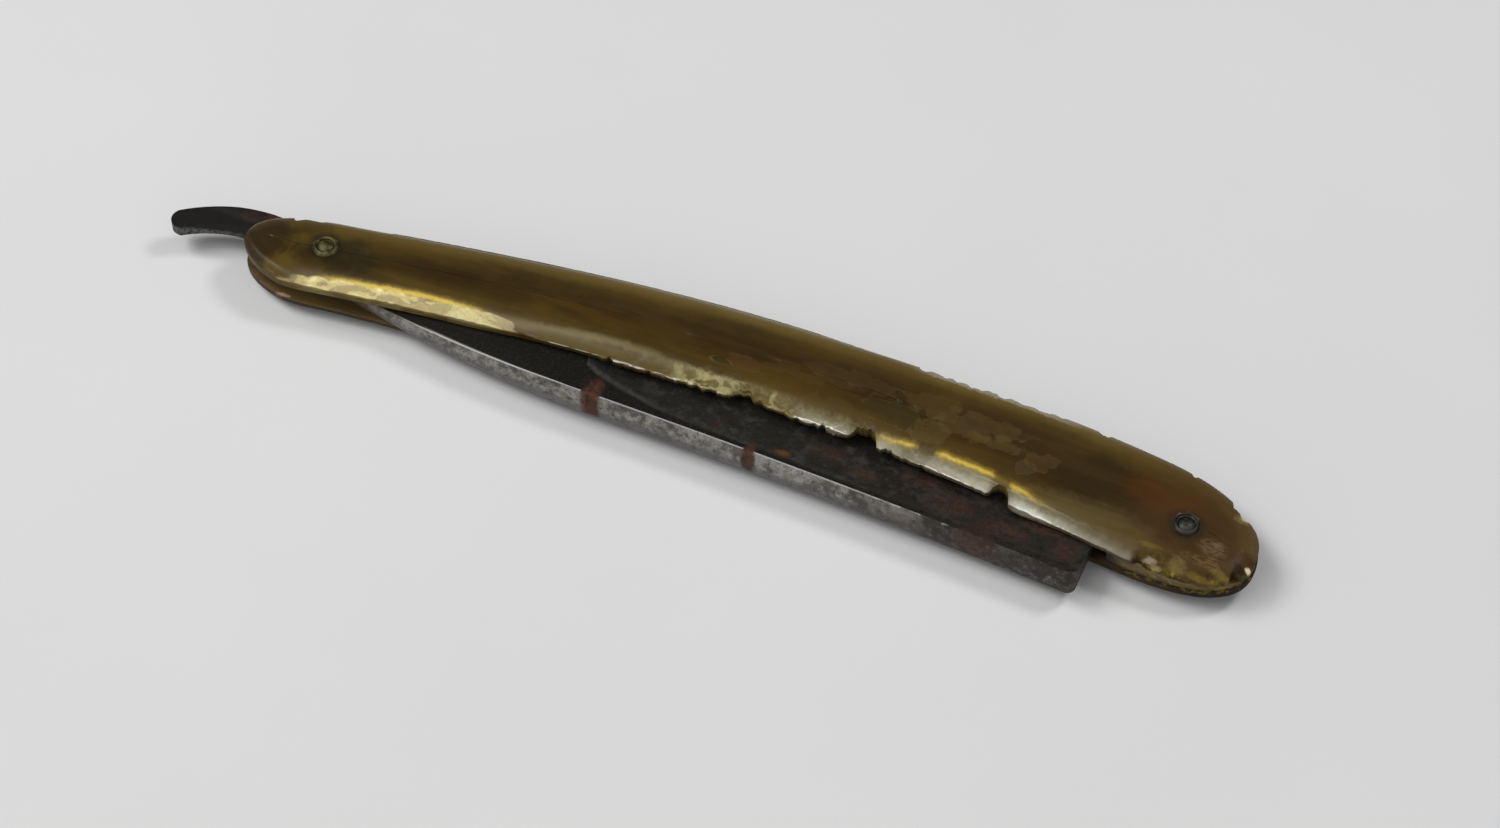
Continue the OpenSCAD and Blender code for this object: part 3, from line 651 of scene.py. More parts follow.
def blade_stations():
    """Pairs of plan points from the tail's tip to the blade's end: on the back, and on the belly or edge."""
    pairs = tail_stations()
    back_x, far_x = pairs[-1][0][0], pairs[-1][1][0]
    for share in np.linspace(0, 1, 30)[1:]:
        x = back_x + (BOSS_END - back_x) * share
        across = far_x + (BOSS_END - far_x) * share
        pairs.append((np.array([x, tang_back(x)]), np.array([across, belly_line(across)])))
    for x in np.linspace(BOSS_END, SHOULDER[0] - 3, 60)[1:]:
        pairs.append(tang_pair(x))
    fine, coarse, quiet_start = 0.4, 0.8, 12
    heel_end, point_start = HEEL_STEP + HEEL_RADIUS, BLADE_LENGTH - POINT_RADIUS
    heel_turns, point_turns = np.linspace(0.1, np.pi / 2, 9), np.linspace(0, np.pi / 2, 9)
    places = np.concatenate([np.arange(-2.6, HEEL_STEP, fine), [HEEL_STEP, HEEL_STEP + 0.12],
                             HEEL_STEP + HEEL_RADIUS * (1 - np.cos(heel_turns)),
                             np.arange(heel_end + fine, quiet_start, fine),
                             np.arange(quiet_start, point_start, coarse),
                             BLADE_LENGTH - POINT_RADIUS * (1 - np.sin(point_turns))])
    middle = BLADE_LENGTH / 2
    depth = SPINE_ARC - SPINE_HOLLOW
    for place in places:
        if place < 0:
            pairs.append(tang_pair(SHOULDER[0] + place))
            continue
        back = -depth + math.sqrt(SPINE_ARC ** 2 - (place - middle) ** 2)
        past = place - point_start
        if past > 0:
            back = max(back, POINT_RADIUS - math.sqrt(max(POINT_RADIUS ** 2 - past ** 2, 0)))
        if place <= HEEL_STEP:
            edge = (belly_line(SHOULDER[0] + place) - SHOULDER[1] + place * math.sin(SLOPE)) / math.cos(SLOPE)
        elif place < heel_end:
            edge = BLADE_WIDTH - HEEL_RADIUS + math.sqrt(
                HEEL_RADIUS ** 2 - (place - HEEL_STEP - HEEL_RADIUS) ** 2)
        else:
            edge = -depth + math.sqrt((SPINE_ARC + BLADE_WIDTH) ** 2 - (place - middle) ** 2)
        start = SHOULDER + SPINE_RUN * place
        pairs.append((start + SPINE_NORMAL * back, start + SPINE_NORMAL * edge))
    return pairs


def back_bulge(half):
    """How far the rounded back stands in from its highest line at a half thickness."""
    return BACK_RADIUS - np.sqrt(BACK_RADIUS ** 2 - half ** 2)


def blade_half(x, y):
    """Half thickness of the forging at points of the plan: tapers, honed planes and the ground hollow."""
    lengthwise = (x - SHOULDER[0]) * SPINE_RUN[0] + (y - SHOULDER[1]) * SPINE_RUN[1]
    across = (x - SHOULDER[0]) * SPINE_NORMAL[0] + (y - SHOULDER[1]) * SPINE_NORMAL[1]
    side = np.interp(x, [TAIL_TIP, TAIL_ROOT, TANG_FLAT, SHOULDER[0], SHOULDER[0] + 2.5],
                     [TIP_HALF, TANG_HALF, TANG_HALF, SPINE_HALF, 2 * SPINE_HALF])
    plane = SPINE_HALF - FACE_FALL * across
    land = np.array([LAND, SPINE_HALF - FACE_FALL * LAND])
    bevel = np.array([BEVEL, SPINE_HALF - FACE_FALL * BEVEL])
    chord = np.linalg.norm(bevel - land)
    normal = np.array([FACE_FALL, 1]) / math.hypot(FACE_FALL, 1)
    axis = (land + bevel) / 2 + normal * math.sqrt(WHEEL_RADIUS ** 2 - chord ** 2 / 4)
    before = np.maximum(RUNOUT_LEAD - lengthwise, 0)
    wheel = WHEEL_RADIUS - RUNOUT_RADIUS + np.sqrt(np.maximum(RUNOUT_RADIUS ** 2 - before ** 2, 0))
    hollow = axis[1] - np.sqrt(np.maximum(wheel ** 2 - (across - axis[0]) ** 2, 0))
    return np.maximum(np.minimum(np.minimum(side, plane), hollow), 0.05)


# Places of the rows of points on the blade's face, from the spine's line
FACE_ROWS = [0, .12, .35, .7, 1.1, 1.42, 1.5, 1.58, 1.8, 2.2, 2.8, 3.5, 4.3, 5.2, 6.2, 7.3, 8.5, 9.8, 11.2,
             12.6, 14, 15.4, 16.7, 17.7, 18.2, 18.3, 18.45, 99]


def blade_mesh(name):
    """The whole forging as a loft of closed sections, with a worn arris along its back."""
    pairs = blade_stations()
    back = np.array([p[0] for p in pairs])
    far = np.array([p[1] for p in pairs])
    run = far - back
    reach = np.linalg.norm(run, axis=1)
    run /= reach[:, None]
    # The tail's back is flat, and the back is rounded from the boss on
    rounding = np.interp(back[:, 0], [-5.5, -3.5], [0, 1])
    rim_half = blade_half(*(back + run * 0.4).T)
    bulge = back_bulge(rim_half) * rounding
    arris = np.minimum(ARRIS, reach / 8)
    drawn_in = (back - SHOULDER) @ SPINE_NORMAL * (back[:, 0] > SHOULDER[0])
    face = []
    for k, row in enumerate(FACE_ROWS):
        inset = np.maximum(row - drawn_in, bulge + arris + 0.01 * k)
        inset = np.minimum(inset, reach - arris - 0.012 * (len(FACE_ROWS) - 1 - k))
        spot = back + run * inset[:, None]
        face.append(np.column_stack([spot, blade_half(*spot.T)]))
    wall = []
    half = face[0][:, 2] - arris
    for share in np.cos(np.linspace(0, np.pi, 11)):
        level = half * share
        spot = back + run * (back_bulge(level) * rounding)[:, None]
        wall.append(np.column_stack([spot, level]))
    edge_half = np.maximum(face[-1][:, 2] - np.minimum(arris, face[-1][:, 2] * 0.4), 0.04)
    edge = [np.column_stack([far, edge_half * share]) for share in (1, 0, -1)]
    flip = np.array([1, 1, -1])
    rings = wall[::-1] + face + edge + [row * flip for row in face[::-1]]
    points = np.stack(rings, axis=1)
    index = np.arange(points[..., 0].size).reshape(points.shape[:2])
    caps = [index[0].tolist()[::-1], index[-1].tolist()]
    mesh = finished_mesh(name, points.reshape(-1, 3), tube(index) + caps, crease=32)
    mark_blade(mesh)
    return mesh


# Pieces

def new_piece(name, mesh, finish, body, nodes):
    """A piece on a body, in place of nodes of the frame."""
    piece = add_object(name, mesh)
    mesh.materials.append(finish.material)
    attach(piece, body)
    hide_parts(*nodes)


def bored(mesh, cutters):
    """The mesh with turned cutters taken out of it."""
    piece = add_object("blank", mesh)
    tools = []
    for cutter in cutters:
        tool = add_object("cutter", cutter)
        cut = piece.modifiers.new("bore", "BOOLEAN")
        cut.operation, cut.solver, cut.object = "DIFFERENCE", "EXACT", tool
        tools.append(tool)
    bpy.context.view_layer.update()
    graph = bpy.context.evaluated_depsgraph_get()
    result = bpy.data.meshes.new_from_object(piece.evaluated_get(graph))
    result.name = mesh.name
    for made in [piece] + tools:
        bpy.data.objects.remove(made)
    return result


def bore_cutter(seat, place, mirrored):
    """A pin hole with the shallow seat of a collar over it."""
    below, above = -seat - 1.0, 2.0
    profile = [(0.0, below), (HOLE_RADIUS, below), (HOLE_RADIUS, 0.0), (VISIBLE_SEAT, 0.0),
               (VISIBLE_SEAT + 0.1, above), (0.0, above)]
    return turned_profile("bore", profile, seat, place, mirrored, 0.0, 30)


def scale_mesh(name, far_break, near_break, relief=None, mirrored=False):
    """A finished scale with its two bores and the marks for its finish."""
    points, faces = scale_form(far_break, near_break, relief)
    if mirrored:
        points[:, 2] *= -1
    cutters = [bore_cutter(PIVOT_SEAT, 0.0, mirrored), bore_cutter(WEDGE_SEAT, PIN_SPACING, mirrored)]
    mesh = bored(finished_mesh(name, points, faces), cutters)
    mark_scale(mesh)
    return mesh


# Marks on the meshes for the finishes

def of_points(mesh, what):
    values = np.empty(len(mesh.vertices) * 3)
    mesh.vertices.foreach_get(what, values)
    return values.reshape(-1, 3)


def pin_places(mesh):
    """Places of a mesh's points in the pin frame, in millimetres."""
    return of_points(mesh, "co") / MM - FRAME_SHIFT


def add_mark(mesh, name, values):
    """A value on every point, for a finish to read."""
    mark = mesh.attributes.new(name, "FLOAT", "POINT")
    mark.data.foreach_set("value", np.asarray(values, np.float32))


def mark_scale(mesh):
    """Marks each point: how far in from the whole border, which side (-1 near, 1 far) and how high it is."""
    x = outline_stations()
    border = np.concatenate([whole_border(x, 1), whole_border(x, -1)])
    tree = KDTree(len(border))
    for i, (across, up) in enumerate(border):
        tree.insert((across, up, 0), i)
    tree.balance()
    spots = pin_places(mesh)
    inset = np.array([tree.find((a, b, 0))[2] for a, b, c in spots])
    across = (spots[:, 1] - centre_line(spots[:, 0])) / np.maximum(half_width(spots[:, 0]), 1)
    inset = np.where(np.abs(across) > 1, -inset, inset)
    add_mark(mesh, "rim_mm", inset)
    scraped = worn_roll(spots[:, 0], inset, border_height(inset)) - scraped_flat(spots[:, 0], inset)
    add_mark(mesh, "scraped_mm", np.where(inset < 4, np.clip(scraped, -0.6, 0.3), -0.6))
    add_mark(mesh, "across", across)
    add_mark(mesh, "rise_mm", np.abs(spots[:, 2]) - half_gap(spots[:, 0]))
    add_mark(mesh, "ledge_mm", follow(spots[:, 0], LEDGE, left=0, right=0))


def mark_blade(mesh):
    """Marks each point: its distance from the spine, how far it faces sideways, and the worn arris."""
    spots = pin_places(mesh)
    add_mark(mesh, "spine_mm", (spots[:, :2] - SHOULDER) @ SPINE_NORMAL)
    add_mark(mesh, "sideways", 1 - np.abs(of_points(mesh, "normal")[:, 2]))
    # The worn arris between back and face, which the finish paints near-white as a highlight
    backs = np.array([pair[0] for pair in blade_stations() if pair[0][0] > 4])
    on_back = np.interp(spots[:, 0], backs[:, 0], backs[:, 1])
    rim_half = blade_half(spots[:, 0], on_back + 0.7)
    off_arris = np.hypot(spots[:, 1] - on_back - back_bulge(rim_half) - ARRIS / 2,
                         np.abs(spots[:, 2]) - rim_half + ARRIS / 2)
    add_mark(mesh, "worn", np.clip(1.4 - off_arris / 0.07, 0, 1) * (spots[:, 0] > 4))


# Finishes

def tinted(tone, *layers):
    """A tone with pairs of mask and shade laid over it in turn."""
    for mask, shade in layers:
        tone = mix(mask, tone, shade)
    return tone


def daubed(tone, at, ragged, daubs):
    """A tone with ovals of shade: centre, reach, raggedness, softness, strength and shade of each."""
    for centre, reach, amount, soft, strength, shade in daubs:
        tone = mix(oval(at.x, at.y, centre, reach, ragged, amount, soft) * strength, tone, shade)
    return tone


def horn_places(finish, lump_size, fine_size):
    """What the layers of a horn finish share: places on the scale, and grains of the horn."""
    at = SimpleNamespace(spot=finish.place())
    at.rim, at.rise = finish.attribute("rim_mm"), finish.attribute("rise_mm")
    at.x, at.y = finish.split(at.spot)[:2]
    at.cloud = grain(stretched(at.spot, 0.3, 1, 1), 4.5, 4.0, 0.55, 0.4)
    at.streak = grain(stretched(at.spot, 0.07, 1, 1), 1.1, 5.0, 0.6)
    at.lumps = grain(at.spot, lump_size, 4.0, 0.6, 0.3)
    at.fine = grain(at.spot, fine_size, 4.0, 0.65)
    return at


def horn_ground(at):
    """The dark, cloudy body of the horn, streaked along its length."""
    tone = mix(ramp(at.cloud, 0.32, 0.68), (46, 32, 7), (60, 44, 13))
    return mix(ramp(at.streak, 0.45, 0.75) * 0.18, tone, (84, 64, 26))


def horn_body(at):
    """Thinner toward both borders, smoky gold at the pivot end, reddish brown at the wedge, and veined."""
    x, lumps, smooth = at.x, at.lumps, at.smooth
    golden = ramp(x + (at.cloud - 0.5) * 14, 14, -3) * ramp(smooth * 0.6 + lumps * 0.4, 0.38, 0.62)
    tone = tinted(horn_ground(at), (ramp(at.rim + (lumps - 0.5) * 2.4, 6.5, 1.6) * 0.6, (88, 70, 28)),
                  (golden * 0.55, (88, 72, 24)))
    tone = daubed(tone, at, smooth, [((-9.0, -1.4), (4.0, 5.0), 0.6, 0.8, 0.8, (40, 28, 12)),
                                     ((-4.0, 3.4), (4.0, 1.8), 0.8, 0.8, 0.45, (44, 34, 14)),
                                     ((3.6, -0.6), (4.0, 3.6), 0.5, 0.7, 0.6, (34, 32, 16)),
                                     ((2.6, -2.6), (7.0, 2.2), 0.6, 0.9, 0.5, (36, 27, 8))])
    tone = mix(ramp(x + (at.cloud - 0.5) * 14, 116, 134) * 0.7, tone, (64, 38, 6))
    tone = daubed(tone, at, smooth, [((125.5, 3.2), (5.2, 2.6), 0.8, 0.95, 0.5, (84, 44, 4))])
    fibre = grain(stretched(at.spot, 0.6, 2.2, 1), 0.7, 4.0, 0.65)
    # Painted highlights: two soft pale patches on the broad end
    painted_glow = oval(x, at.y, (134.3, -2.4), (1.9, 1.4), lumps, 0.5, 0.95) * ramp(fibre, 0.35, 0.62)
    lower_painted_glow = oval(x, at.y, (134.0, -4.8), (3.0, 0.9), lumps, 0.5, 0.95) * ramp(fibre, 0.4, 0.6)
    tone = tinted(tone, (painted_glow * 0.35, (150, 124, 92)), (lower_painted_glow * 0.35, (132, 106, 62)))
    # Darker in the seats round both collars
    tone = daubed(tone, at, lumps, [((centre, 0), (2.6, 2.6), 0.2, 0.6, 0.65, (30, 26, 14))
                                    for centre in (0.0, PIN_SPACING)])
    veins = grain(stretched(at.spot, 0.2, 1, 1), 4.2, 2.5, 0.5, 0.7)
    vein_run = along(x, {2: 0, 10: 1, 60: 1, 76: .5, 110: .5})
    return tinted(tone, (ramp(veins, 0.48, 0.68) * vein_run * 0.3, (90, 62, 14)),
                  (ramp(veins, 0.5, 0.34) * vein_run * 0.38, (40, 28, 6)))


# Flaked plates of horn: centre, reach, shade and strength
PLATES = [((64.2, 2.3), (3.0, 1.0), (84, 56, 28), 0.45), ((60.8, 1.4), (1.8, 0.9), (46, 40, 14), 0.9),
          ((80, 5.2), (6.4, 1.5), (76, 58, 28), 0.35), ((86.4, 1.8), (4.0, 2.1), (52, 46, 16), 0.6),
          ((92.6, 0.8), (2.6, 1.9), (88, 78, 42), 0.4), ((91.6, 5.4), (4.6, 1.7), (84, 66, 28), 0.4),
          ((98.6, 4.2), (5.0, 2.6), (88, 70, 34), 0.4), ((101.6, 2.6), (3.4, 1.4), (90, 76, 38), 0.35),
          ((108.6, 1.9), (2.2, 1.5), (90, 66, 30), 0.4), ((106.6, 0.2), (1.4, 1.2), (84, 70, 44), 0.35),
          ((96, -2.4), (4.2, 1.6), (84, 76, 38), 0.3), ((80, -0.6), (4.6, 1.8), (80, 66, 30), 0.25),
          ((72, 3.4), (4.0, 1.0), (78, 62, 30), 0.25)]


def cloudy_and_flaked(at, tone):
    """A cloudy band sweeping down to the broken border, partly a painted glare; flaked plates; a bloom before
    the wedge.
    """
    off_border = along(at.x, {26: .9, 32: 1.1, 38: 1.5, 45: 2.1, 50: 2.1, 56: 1.4, 62: .8}, 0, 3)
    band = at.near * line(at.rim + (at.smooth - 0.5) * 1.0, off_border, 1.0)
    band = band * along(at.x, {24: 0, 32: .5, 46: .75, 54: .4, 62: .2, 68: 0})
    # The band's pale olive is partly cloudy horn and partly a painted glare
    tone = mix(band * ramp(at.streak, 0.2, 0.6, 0.6, 1) * 0.8, tone, (134, 124, 82))
    ragged = at.smooth * 0.65 + at.lumps * 0.3 + at.fine * 0.05
    patches = []
    for centre, reach, shade, strength in PLATES:
        inside = off_centre(at.x, at.y, centre, reach) + ragged * 6.4 - 3.2
        patches.append(ramp(inside, 1.15, 0.8))
        outline = line(inside, 1.0, 0.2) * ramp(at.streak, 0.42, 0.6)
        tone = tinted(tone, (patches[-1] * ramp(at.lumps, 0.3, 0.6, 0.5, 1) * (strength * 0.9), shade),
                      (outline * strength * 0.34, (116, 102, 60)))
    bloom = oval(at.x, at.y, (117.5, -4.0), (9.5, 2.8), at.lumps, 0.5, 0.9)
    bloom = bloom * ramp(at.streak, 0.3, 0.6, 0.4, 1)
    return mix(bloom * 0.28, tone, (108, 98, 64)), largest(*patches)


def far_border(at, tone):
    """Painted sheen where the roll turns away and along the rim, and chalky chips under a painted reflection.
    """
    # Painted sheen on the far roll and its rim
    roll = ramp(at.rim + (at.lumps - 0.5) * 0.8, 3.6, 1.4) * along(
        at.x, {-6: .0, 6: .3, 22: .5, 60: .6, 76: .5, 84: .3, 92: .7, 112: .5, 124: .2})
    rim_sheen = ramp(at.rim + (at.lumps - 0.5) * 0.5, 1.8, 0.7) * along(
        at.x, {-12: .1, -3: .35, 40: .35, 60: .55, 88: .5, 93: .9, 106: .9, 114: .6, 121: .35, 134: .15})
    chalk_and_sheen = ramp(at.rim + (at.fine - 0.5), 1.9, 1.3) * along(at.x, {86: 0, 90: .8, 107: .8, 112: 0})
    return tinted(tone, (at.far * roll, (110, 92, 46)), (at.far * rim_sheen, (128, 116, 88)),
                  (at.far * chalk_and_sheen, (150, 142, 124)))


def lit_ridge(at, tone, ridge):
    """Painted light: gold just above the scraped flat of the near border, as if lit from behind the horn,
    with a painted highlight along its core.
    """
    lit = at.near * along(
        at.x, {1: 0, 4.5: .8, 8: 1, 21: 1, 26: .5, 31: 0, 85.8: 0, 86.8: .8, 91: .9, 91.8: 0, 94.4: 0,
               95.4: 1, 102.6: 1, 103.6: .1, 105.6: .1, 106.4: 1, 108.2: .8, 109.6: .3, 112: .1, 114: 0})
    off_ridge = at.rim - ridge + (at.lumps - 0.5) * 0.7 + (at.fine - 0.5) * 0.35
    core = line(off_ridge * ramp(at.x, 60, 84, 1, 1.35), 0, 0.62) * ramp(at.fine, 0.3, 0.55, 0.7, 1)
    return tinted(tone, (lit * line(off_ridge, 0, 1.1), (146, 120, 38)),
                  (lit * core * ramp(at.x, 60, 84, 0.9, 0.75), (214, 188, 82)))


def cream_flat_and_highlight(at, tone):
    """Cream flakes on the scraped flat of the near border, partly painted as its highlight, the palest flakes
    as painted glints.
    """
    strength = along(at.x, {-5.2: .02, -3.2: .35, 0.5: .85, 27: .9, 31: .5, 33: 0})
    flakes = grain(stretched(at.spot, 0.5, 1, 1), 1.9, 2.0, 0.5, 0.5)
    seams = largest(line(flakes, 0.46, 0.022), line(at.patchy, 0.5, 0.02) * 0.6)
    cream = mix(ramp(flakes, 0.38, 0.56), (158, 136, 60), (206, 188, 104))
    # Painted glints on the palest flakes
    cream = tinted(cream, (ramp(flakes, 0.54, 0.64) * 0.8, (234, 221, 146)),
                   (ramp(at.x, 16, 25) * 0.5, (160, 148, 84)), (seams * 0.75, (112, 92, 38)))
    return mix(at.cut * strength, tone, cream)


def sheer_edge(at, tone, ridge):
    """The translucent grey edge of the near border, whitest in a painted glint beside the notches."""
    sheer = ramp(at.rim + (at.lumps - 0.5) * 1.1 - largest(ridge, 1.5), 0.1, -1.5) * along(
        at.x, {73: 0, 76: .7, 81.6: .75, 82.4: .1, 85.8: .1, 86.4: .9, 88.5: .8, 90: .35, 93: .35, 94.5: .75,
               99: .8, 102.6: 1, 103.4: .15, 106.2: .2, 107: 1, 111: .9, 115: .65, 119: .4, 124.4: .3,
               125: 0})
    # Painted glint beside the notches at the broad end
    glint_place = ramp(off_centre(at.x, at.y, (109.6, -7.8), (3.6, 2.6)), 1.9, 0.1)
    glint_tone = mix(glint_place, (196, 194, 174), (232, 232, 224))
    pale = mix(ramp(at.rim + (at.fine - 0.5) * 0.6, 1.3, 0.2), (146, 144, 116), glint_tone)
    pale = mix(ramp(at.patchy, 0.55, 0.75) * 0.5, pale, (130, 122, 84))
    return mix(at.near * sheer * 0.9, tone, pale)


def gnawed_border(at, tone):
    """Pale, cloudy lumps along the gnawed stretch of the near border, with painted highlights and painted
    shade on them.
    """
    clumps = grain(at.spot, 2.1, 2.0, 0.5, 0.5)
    crumbly = at.near * ramp(at.rim + (clumps - 0.5) * 3.0, 2.5, 1.5)
    crumbly = crumbly * along(at.x, {54: 0, 57: .8, 66: .8, 72: .6, 75: 0})
    olive = at.near * ramp(at.rim, 1.6, 0.9) * along(at.x, {32: 0, 37: .75, 52: .6, 57: 0})
    return tinted(tone, (at.gnawed * ramp(at.fine, 0.35, 0.6, 0.3, 1) * 0.7, (118, 106, 62)),
                  (olive, (92, 78, 36)), (crumbly * 0.6, (110, 98, 54)),
                  # Painted highlights on the lumps' tops, painted shade between them
                  (crumbly * ramp(clumps, 0.48, 0.58) * 0.7, (178, 168, 118)),
                  (crumbly * ramp(clumps, 0.42, 0.36) * 0.6, (78, 64, 28)))


# Crumbs, pits and scars about the broad end, with painted shade in the pit and the notch and a painted glint
# by the notch: centre, reach, shade and strength
CRUMBS = [((127, -6.9), (0.9, 0.45), (150, 136, 116), 0.7), ((128.1, -7.5), (0.8, 0.35), (128, 114, 86), 0.6),
          ((131.2, -8.4), (0.9, 0.35), (186, 168, 86), 0.8), ((126.6, -5.2), (1.6, 0.4), (118, 100, 44), 0.4),
          ((130.8, -6.4), (1.2, 0.9), (112, 96, 46), 0.6), ((134.6, -7), (2.6, 0.4), (116, 94, 34), 0.5),
          ((136.6, -5.6), (1.4, 0.4), (122, 104, 50), 0.5), (PIT, (0.8, 0.7), (26, 16, 6), 0.9),
          ((138.5, -3.7), (0.7, 0.7), (30, 18, 6), 0.8), ((139.7, -3), (0.42, 0.4), (236, 224, 186), 0.9),
          ((136.7, 4.2), (1.1, 0.8), (140, 124, 80), 0.4), ((136.9, 4.3), (0.6, 0.3), (210, 202, 172), 0.6)]


def eaten_ledge(at, tone):
    """The crumbly ledge at the wedge, with its crumbs and pits, the crumbs' tops lit by a painted highlight.
    """
    crumb = mix(ramp(at.lumps * 0.7 + at.smooth * 0.3, 0.4, 0.6), (52, 36, 6), (96, 78, 20))
    # Painted highlight on the crumbs' tops
    crumb = mix(ramp(at.lumps, 0.52, 0.6) * ramp(at.rim, 1.2, 0.4), crumb, (140, 120, 54))
    return daubed(mix(at.eaten * 0.85, tone, crumb), at, at.fine * 0.5 + at.lumps * 0.5,
                  [(centre, reach, 1.4, 0.8, strength, shade) for centre, reach, shade, strength in CRUMBS])


def sawn_border(at, tone):
    """A painted glint along the rim's upper corner, and painted shade on the plain wall below it."""
    glint = ramp(at.patchy, 0.42, 0.5) * along(
        at.x, {34: 0, 37: .6, 46: .6, 48: .5, 60: .5, 66: .2, 73: .1, 74: 1, 81: 1, 82: 0, 92: 0, 93.5: 1,
               100: 1, 101: 0, 107: 0, 108: 1, 114: .7, 118: 0})
    glint = at.near * line(at.rise, 0.7, 0.09) * ramp(at.rim, 0.4, 0.2) * glint
    taller = along(at.x, {-5: .7, 1: .5, 31: .46, 36: .1, 75: .02, 80: .16, 120: .16, 126: .1})
    wall = ramp(at.rise - taller, 0.5, 0.4) * (1 - at.eaten * 0.6)
    # Painted shade on the wall below the rim
    wall_shade = mix(taller, (56, 42, 16), (70, 54, 22))
    return tinted(tone, (glint, (236, 234, 222)), (wall * 0.85, wall_shade)), wall


def front_horn_finish():
    finish = Finish("front_horn", ior=1.27, coat_ior=1.5, coat_roughness=0.22)
    at = horn_places(finish, 2.2, 0.55)
    ledge, scraped = finish.attribute("ledge_mm"), finish.attribute("scraped_mm")
    at.near = ramp(finish.attribute("across"), 0.2, -0.2)
    at.far = 1 - at.near
    at.smooth = grain(at.spot, 3.0, 1.5, 0.5, 0.8)
    at.patchy = grain(stretched(at.spot, 0.45, 1, 1), 0.9, 4.0, 0.65, 0.4)
    at.cut = at.near * ramp(scraped, -0.03, 0.03)
    at.eaten = at.near * ramp(at.x, 124.4, 125) * ramp(at.rim + (at.lumps - 0.5) * 1.2 - ledge, 0.3, -0.3)
    at.gnawed = at.near * ramp(at.rim + (at.lumps - 0.5) * 2.6, 1.9, 1.0) * along(
        at.x, {50: 0, 57: .5, 66: .8, 74: .6, 84: .7, 92: .3, 104: .3, 116: .2, 122: 0})
    ridge = along(at.x, {3: 1.15, 12: 1.35, 19: 1.5, 24: 1.35, 28: .85, 31: .35, 84: .8, 88: 1.1, 91: 1.6,
                         95: 1.9, 98: 2.1, 103: 2.3, 106: 2, 109: 1.7, 114: 1.3}, 0, 3)
    tone, dull = cloudy_and_flaked(at, horn_body(at))
    tone = cream_flat_and_highlight(at, lit_ridge(at, far_border(at, tone), ridge))
    tone = eaten_ledge(at, gnawed_border(at, sheer_edge(at, tone, ridge)))
    tone, wall = sawn_border(at, tone)
    finish.feed("Base Color", tone)
    gloss = at.near * (0.2 + at.cut * 0.8) * along(
        at.x, {-8: .02, -4: .1, 1: .8, 32: .8, 38: .2, 72: .2, 78: .5, 110: .8, 118: .2, 124: .05, 140: .05})
    gloss = gloss + at.far * along(at.x, {110: .5, 124: .2})
    finish.feed("Coat Weight", gloss * (1 - dull * 0.4) * (1 - wall) * (1 - at.eaten))
    worn = at.far * ramp(at.rim + (at.lumps - 0.5) * 0.8, 2.6, 1.2) * 0.4 + ramp(at.x, 120, 128) * 0.14
    worn = worn + dull * 0.08 + (at.gnawed + at.eaten) * 0.1
    finish.feed("Roughness", 0.38 + worn + (at.fine - 0.5) * 0.14)
    scratches = grain(stretched(at.spot, 0.15, 1.6, 1), 0.5, 4.0, 0.7)
    height = at.lumps * 0.25 + at.streak * 0.1 + at.fine * (0.08 + at.gnawed * 0.12 + at.eaten * 0.1)
    finish.bump(height + scratches * 0.06 + dull * 0.08 + at.patchy * at.cut * 0.2, 0.12)
    return finish


def back_horn_finish():
    finish = Finish("back_horn", ior=1.25, emission_strength=1.0)
    at = horn_places(finish, 2.4, 0.6)
    x, rim, rise, streak, lumps = at.x, at.rim, at.rise, at.streak, at.lumps
    amber = ramp(rim + (lumps - 0.5) * 2.0, 5.0, 1.0) * ramp(x, 60, 20, 0.35, 1) * ramp(x, 2, 20, 0.45, 0.7)
    # The inner sheet is amber under the pivot, and darkened nearly to black beyond the blade as painted shade
    inner = ramp(rise, 0.2, 0.05)
    sheet = mix(ramp(x, 70, 30), (34, 20, 10), mix(ramp(streak, 0.35, 0.6), (44, 32, 10), (68, 50, 20)))
    chip = oval(x, at.y, (-4.0, -6.6), (1.0, 0.26), at.fine, 1.2, 0.6) * ramp(rise, 0.8, 0.4)
    # Painted shade: the wall under the wedge end, nearly black
    shaded_wedge_end = mix(ramp(x + (lumps - 0.5) * 4, 130, 134), (46, 32, 4), (18, 12, 2))
    crumbs = ramp(grain(at.spot, 1.0, 2.0, 0.5, 0.4), 0.5, 0.6) * ramp(x, 121, 127) * ramp(rise, 0.7, 0.2)
    worn = ramp(rise, 2.2, 2.35) * ramp(lumps, 0.35, 0.7)
    finish.feed("Base Color", tinted(
        horn_ground(at), (amber, mix(ramp(x, 4, 22), (48, 36, 14), (72, 52, 20))), (inner * 0.85, sheet),
        (chip * 0.55, (188, 150, 122)), (ramp(x, 104, 116) * (1 - inner) * 0.85, shaded_wedge_end),
        (crumbs * 0.45, (120, 104, 48)), (worn * 0.3, (110, 90, 50))))
    # Painted light: a faint emission on the inner sheet under the pivot end, as if lit from behind the horn
    painted_glow_mask = inner * ramp(x, 32, 18) * ramp(rim + (lumps - 0.5) * 1.5, 14, 3)
    painted_glow = mix(ramp(streak, 0.35, 0.6), (34, 27, 14), (46, 37, 20))
    finish.feed("Emission Color", mix(painted_glow_mask, (0, 0, 0), painted_glow))
    finish.feed("Roughness", 0.42 + ramp(x, 100, 116) * 0.25 + (at.fine - 0.5) * 0.15 + worn * 0.15)
    finish.bump(lumps * 0.5 + at.fine * 0.15 + streak * 0.15, 0.1)
    return finish


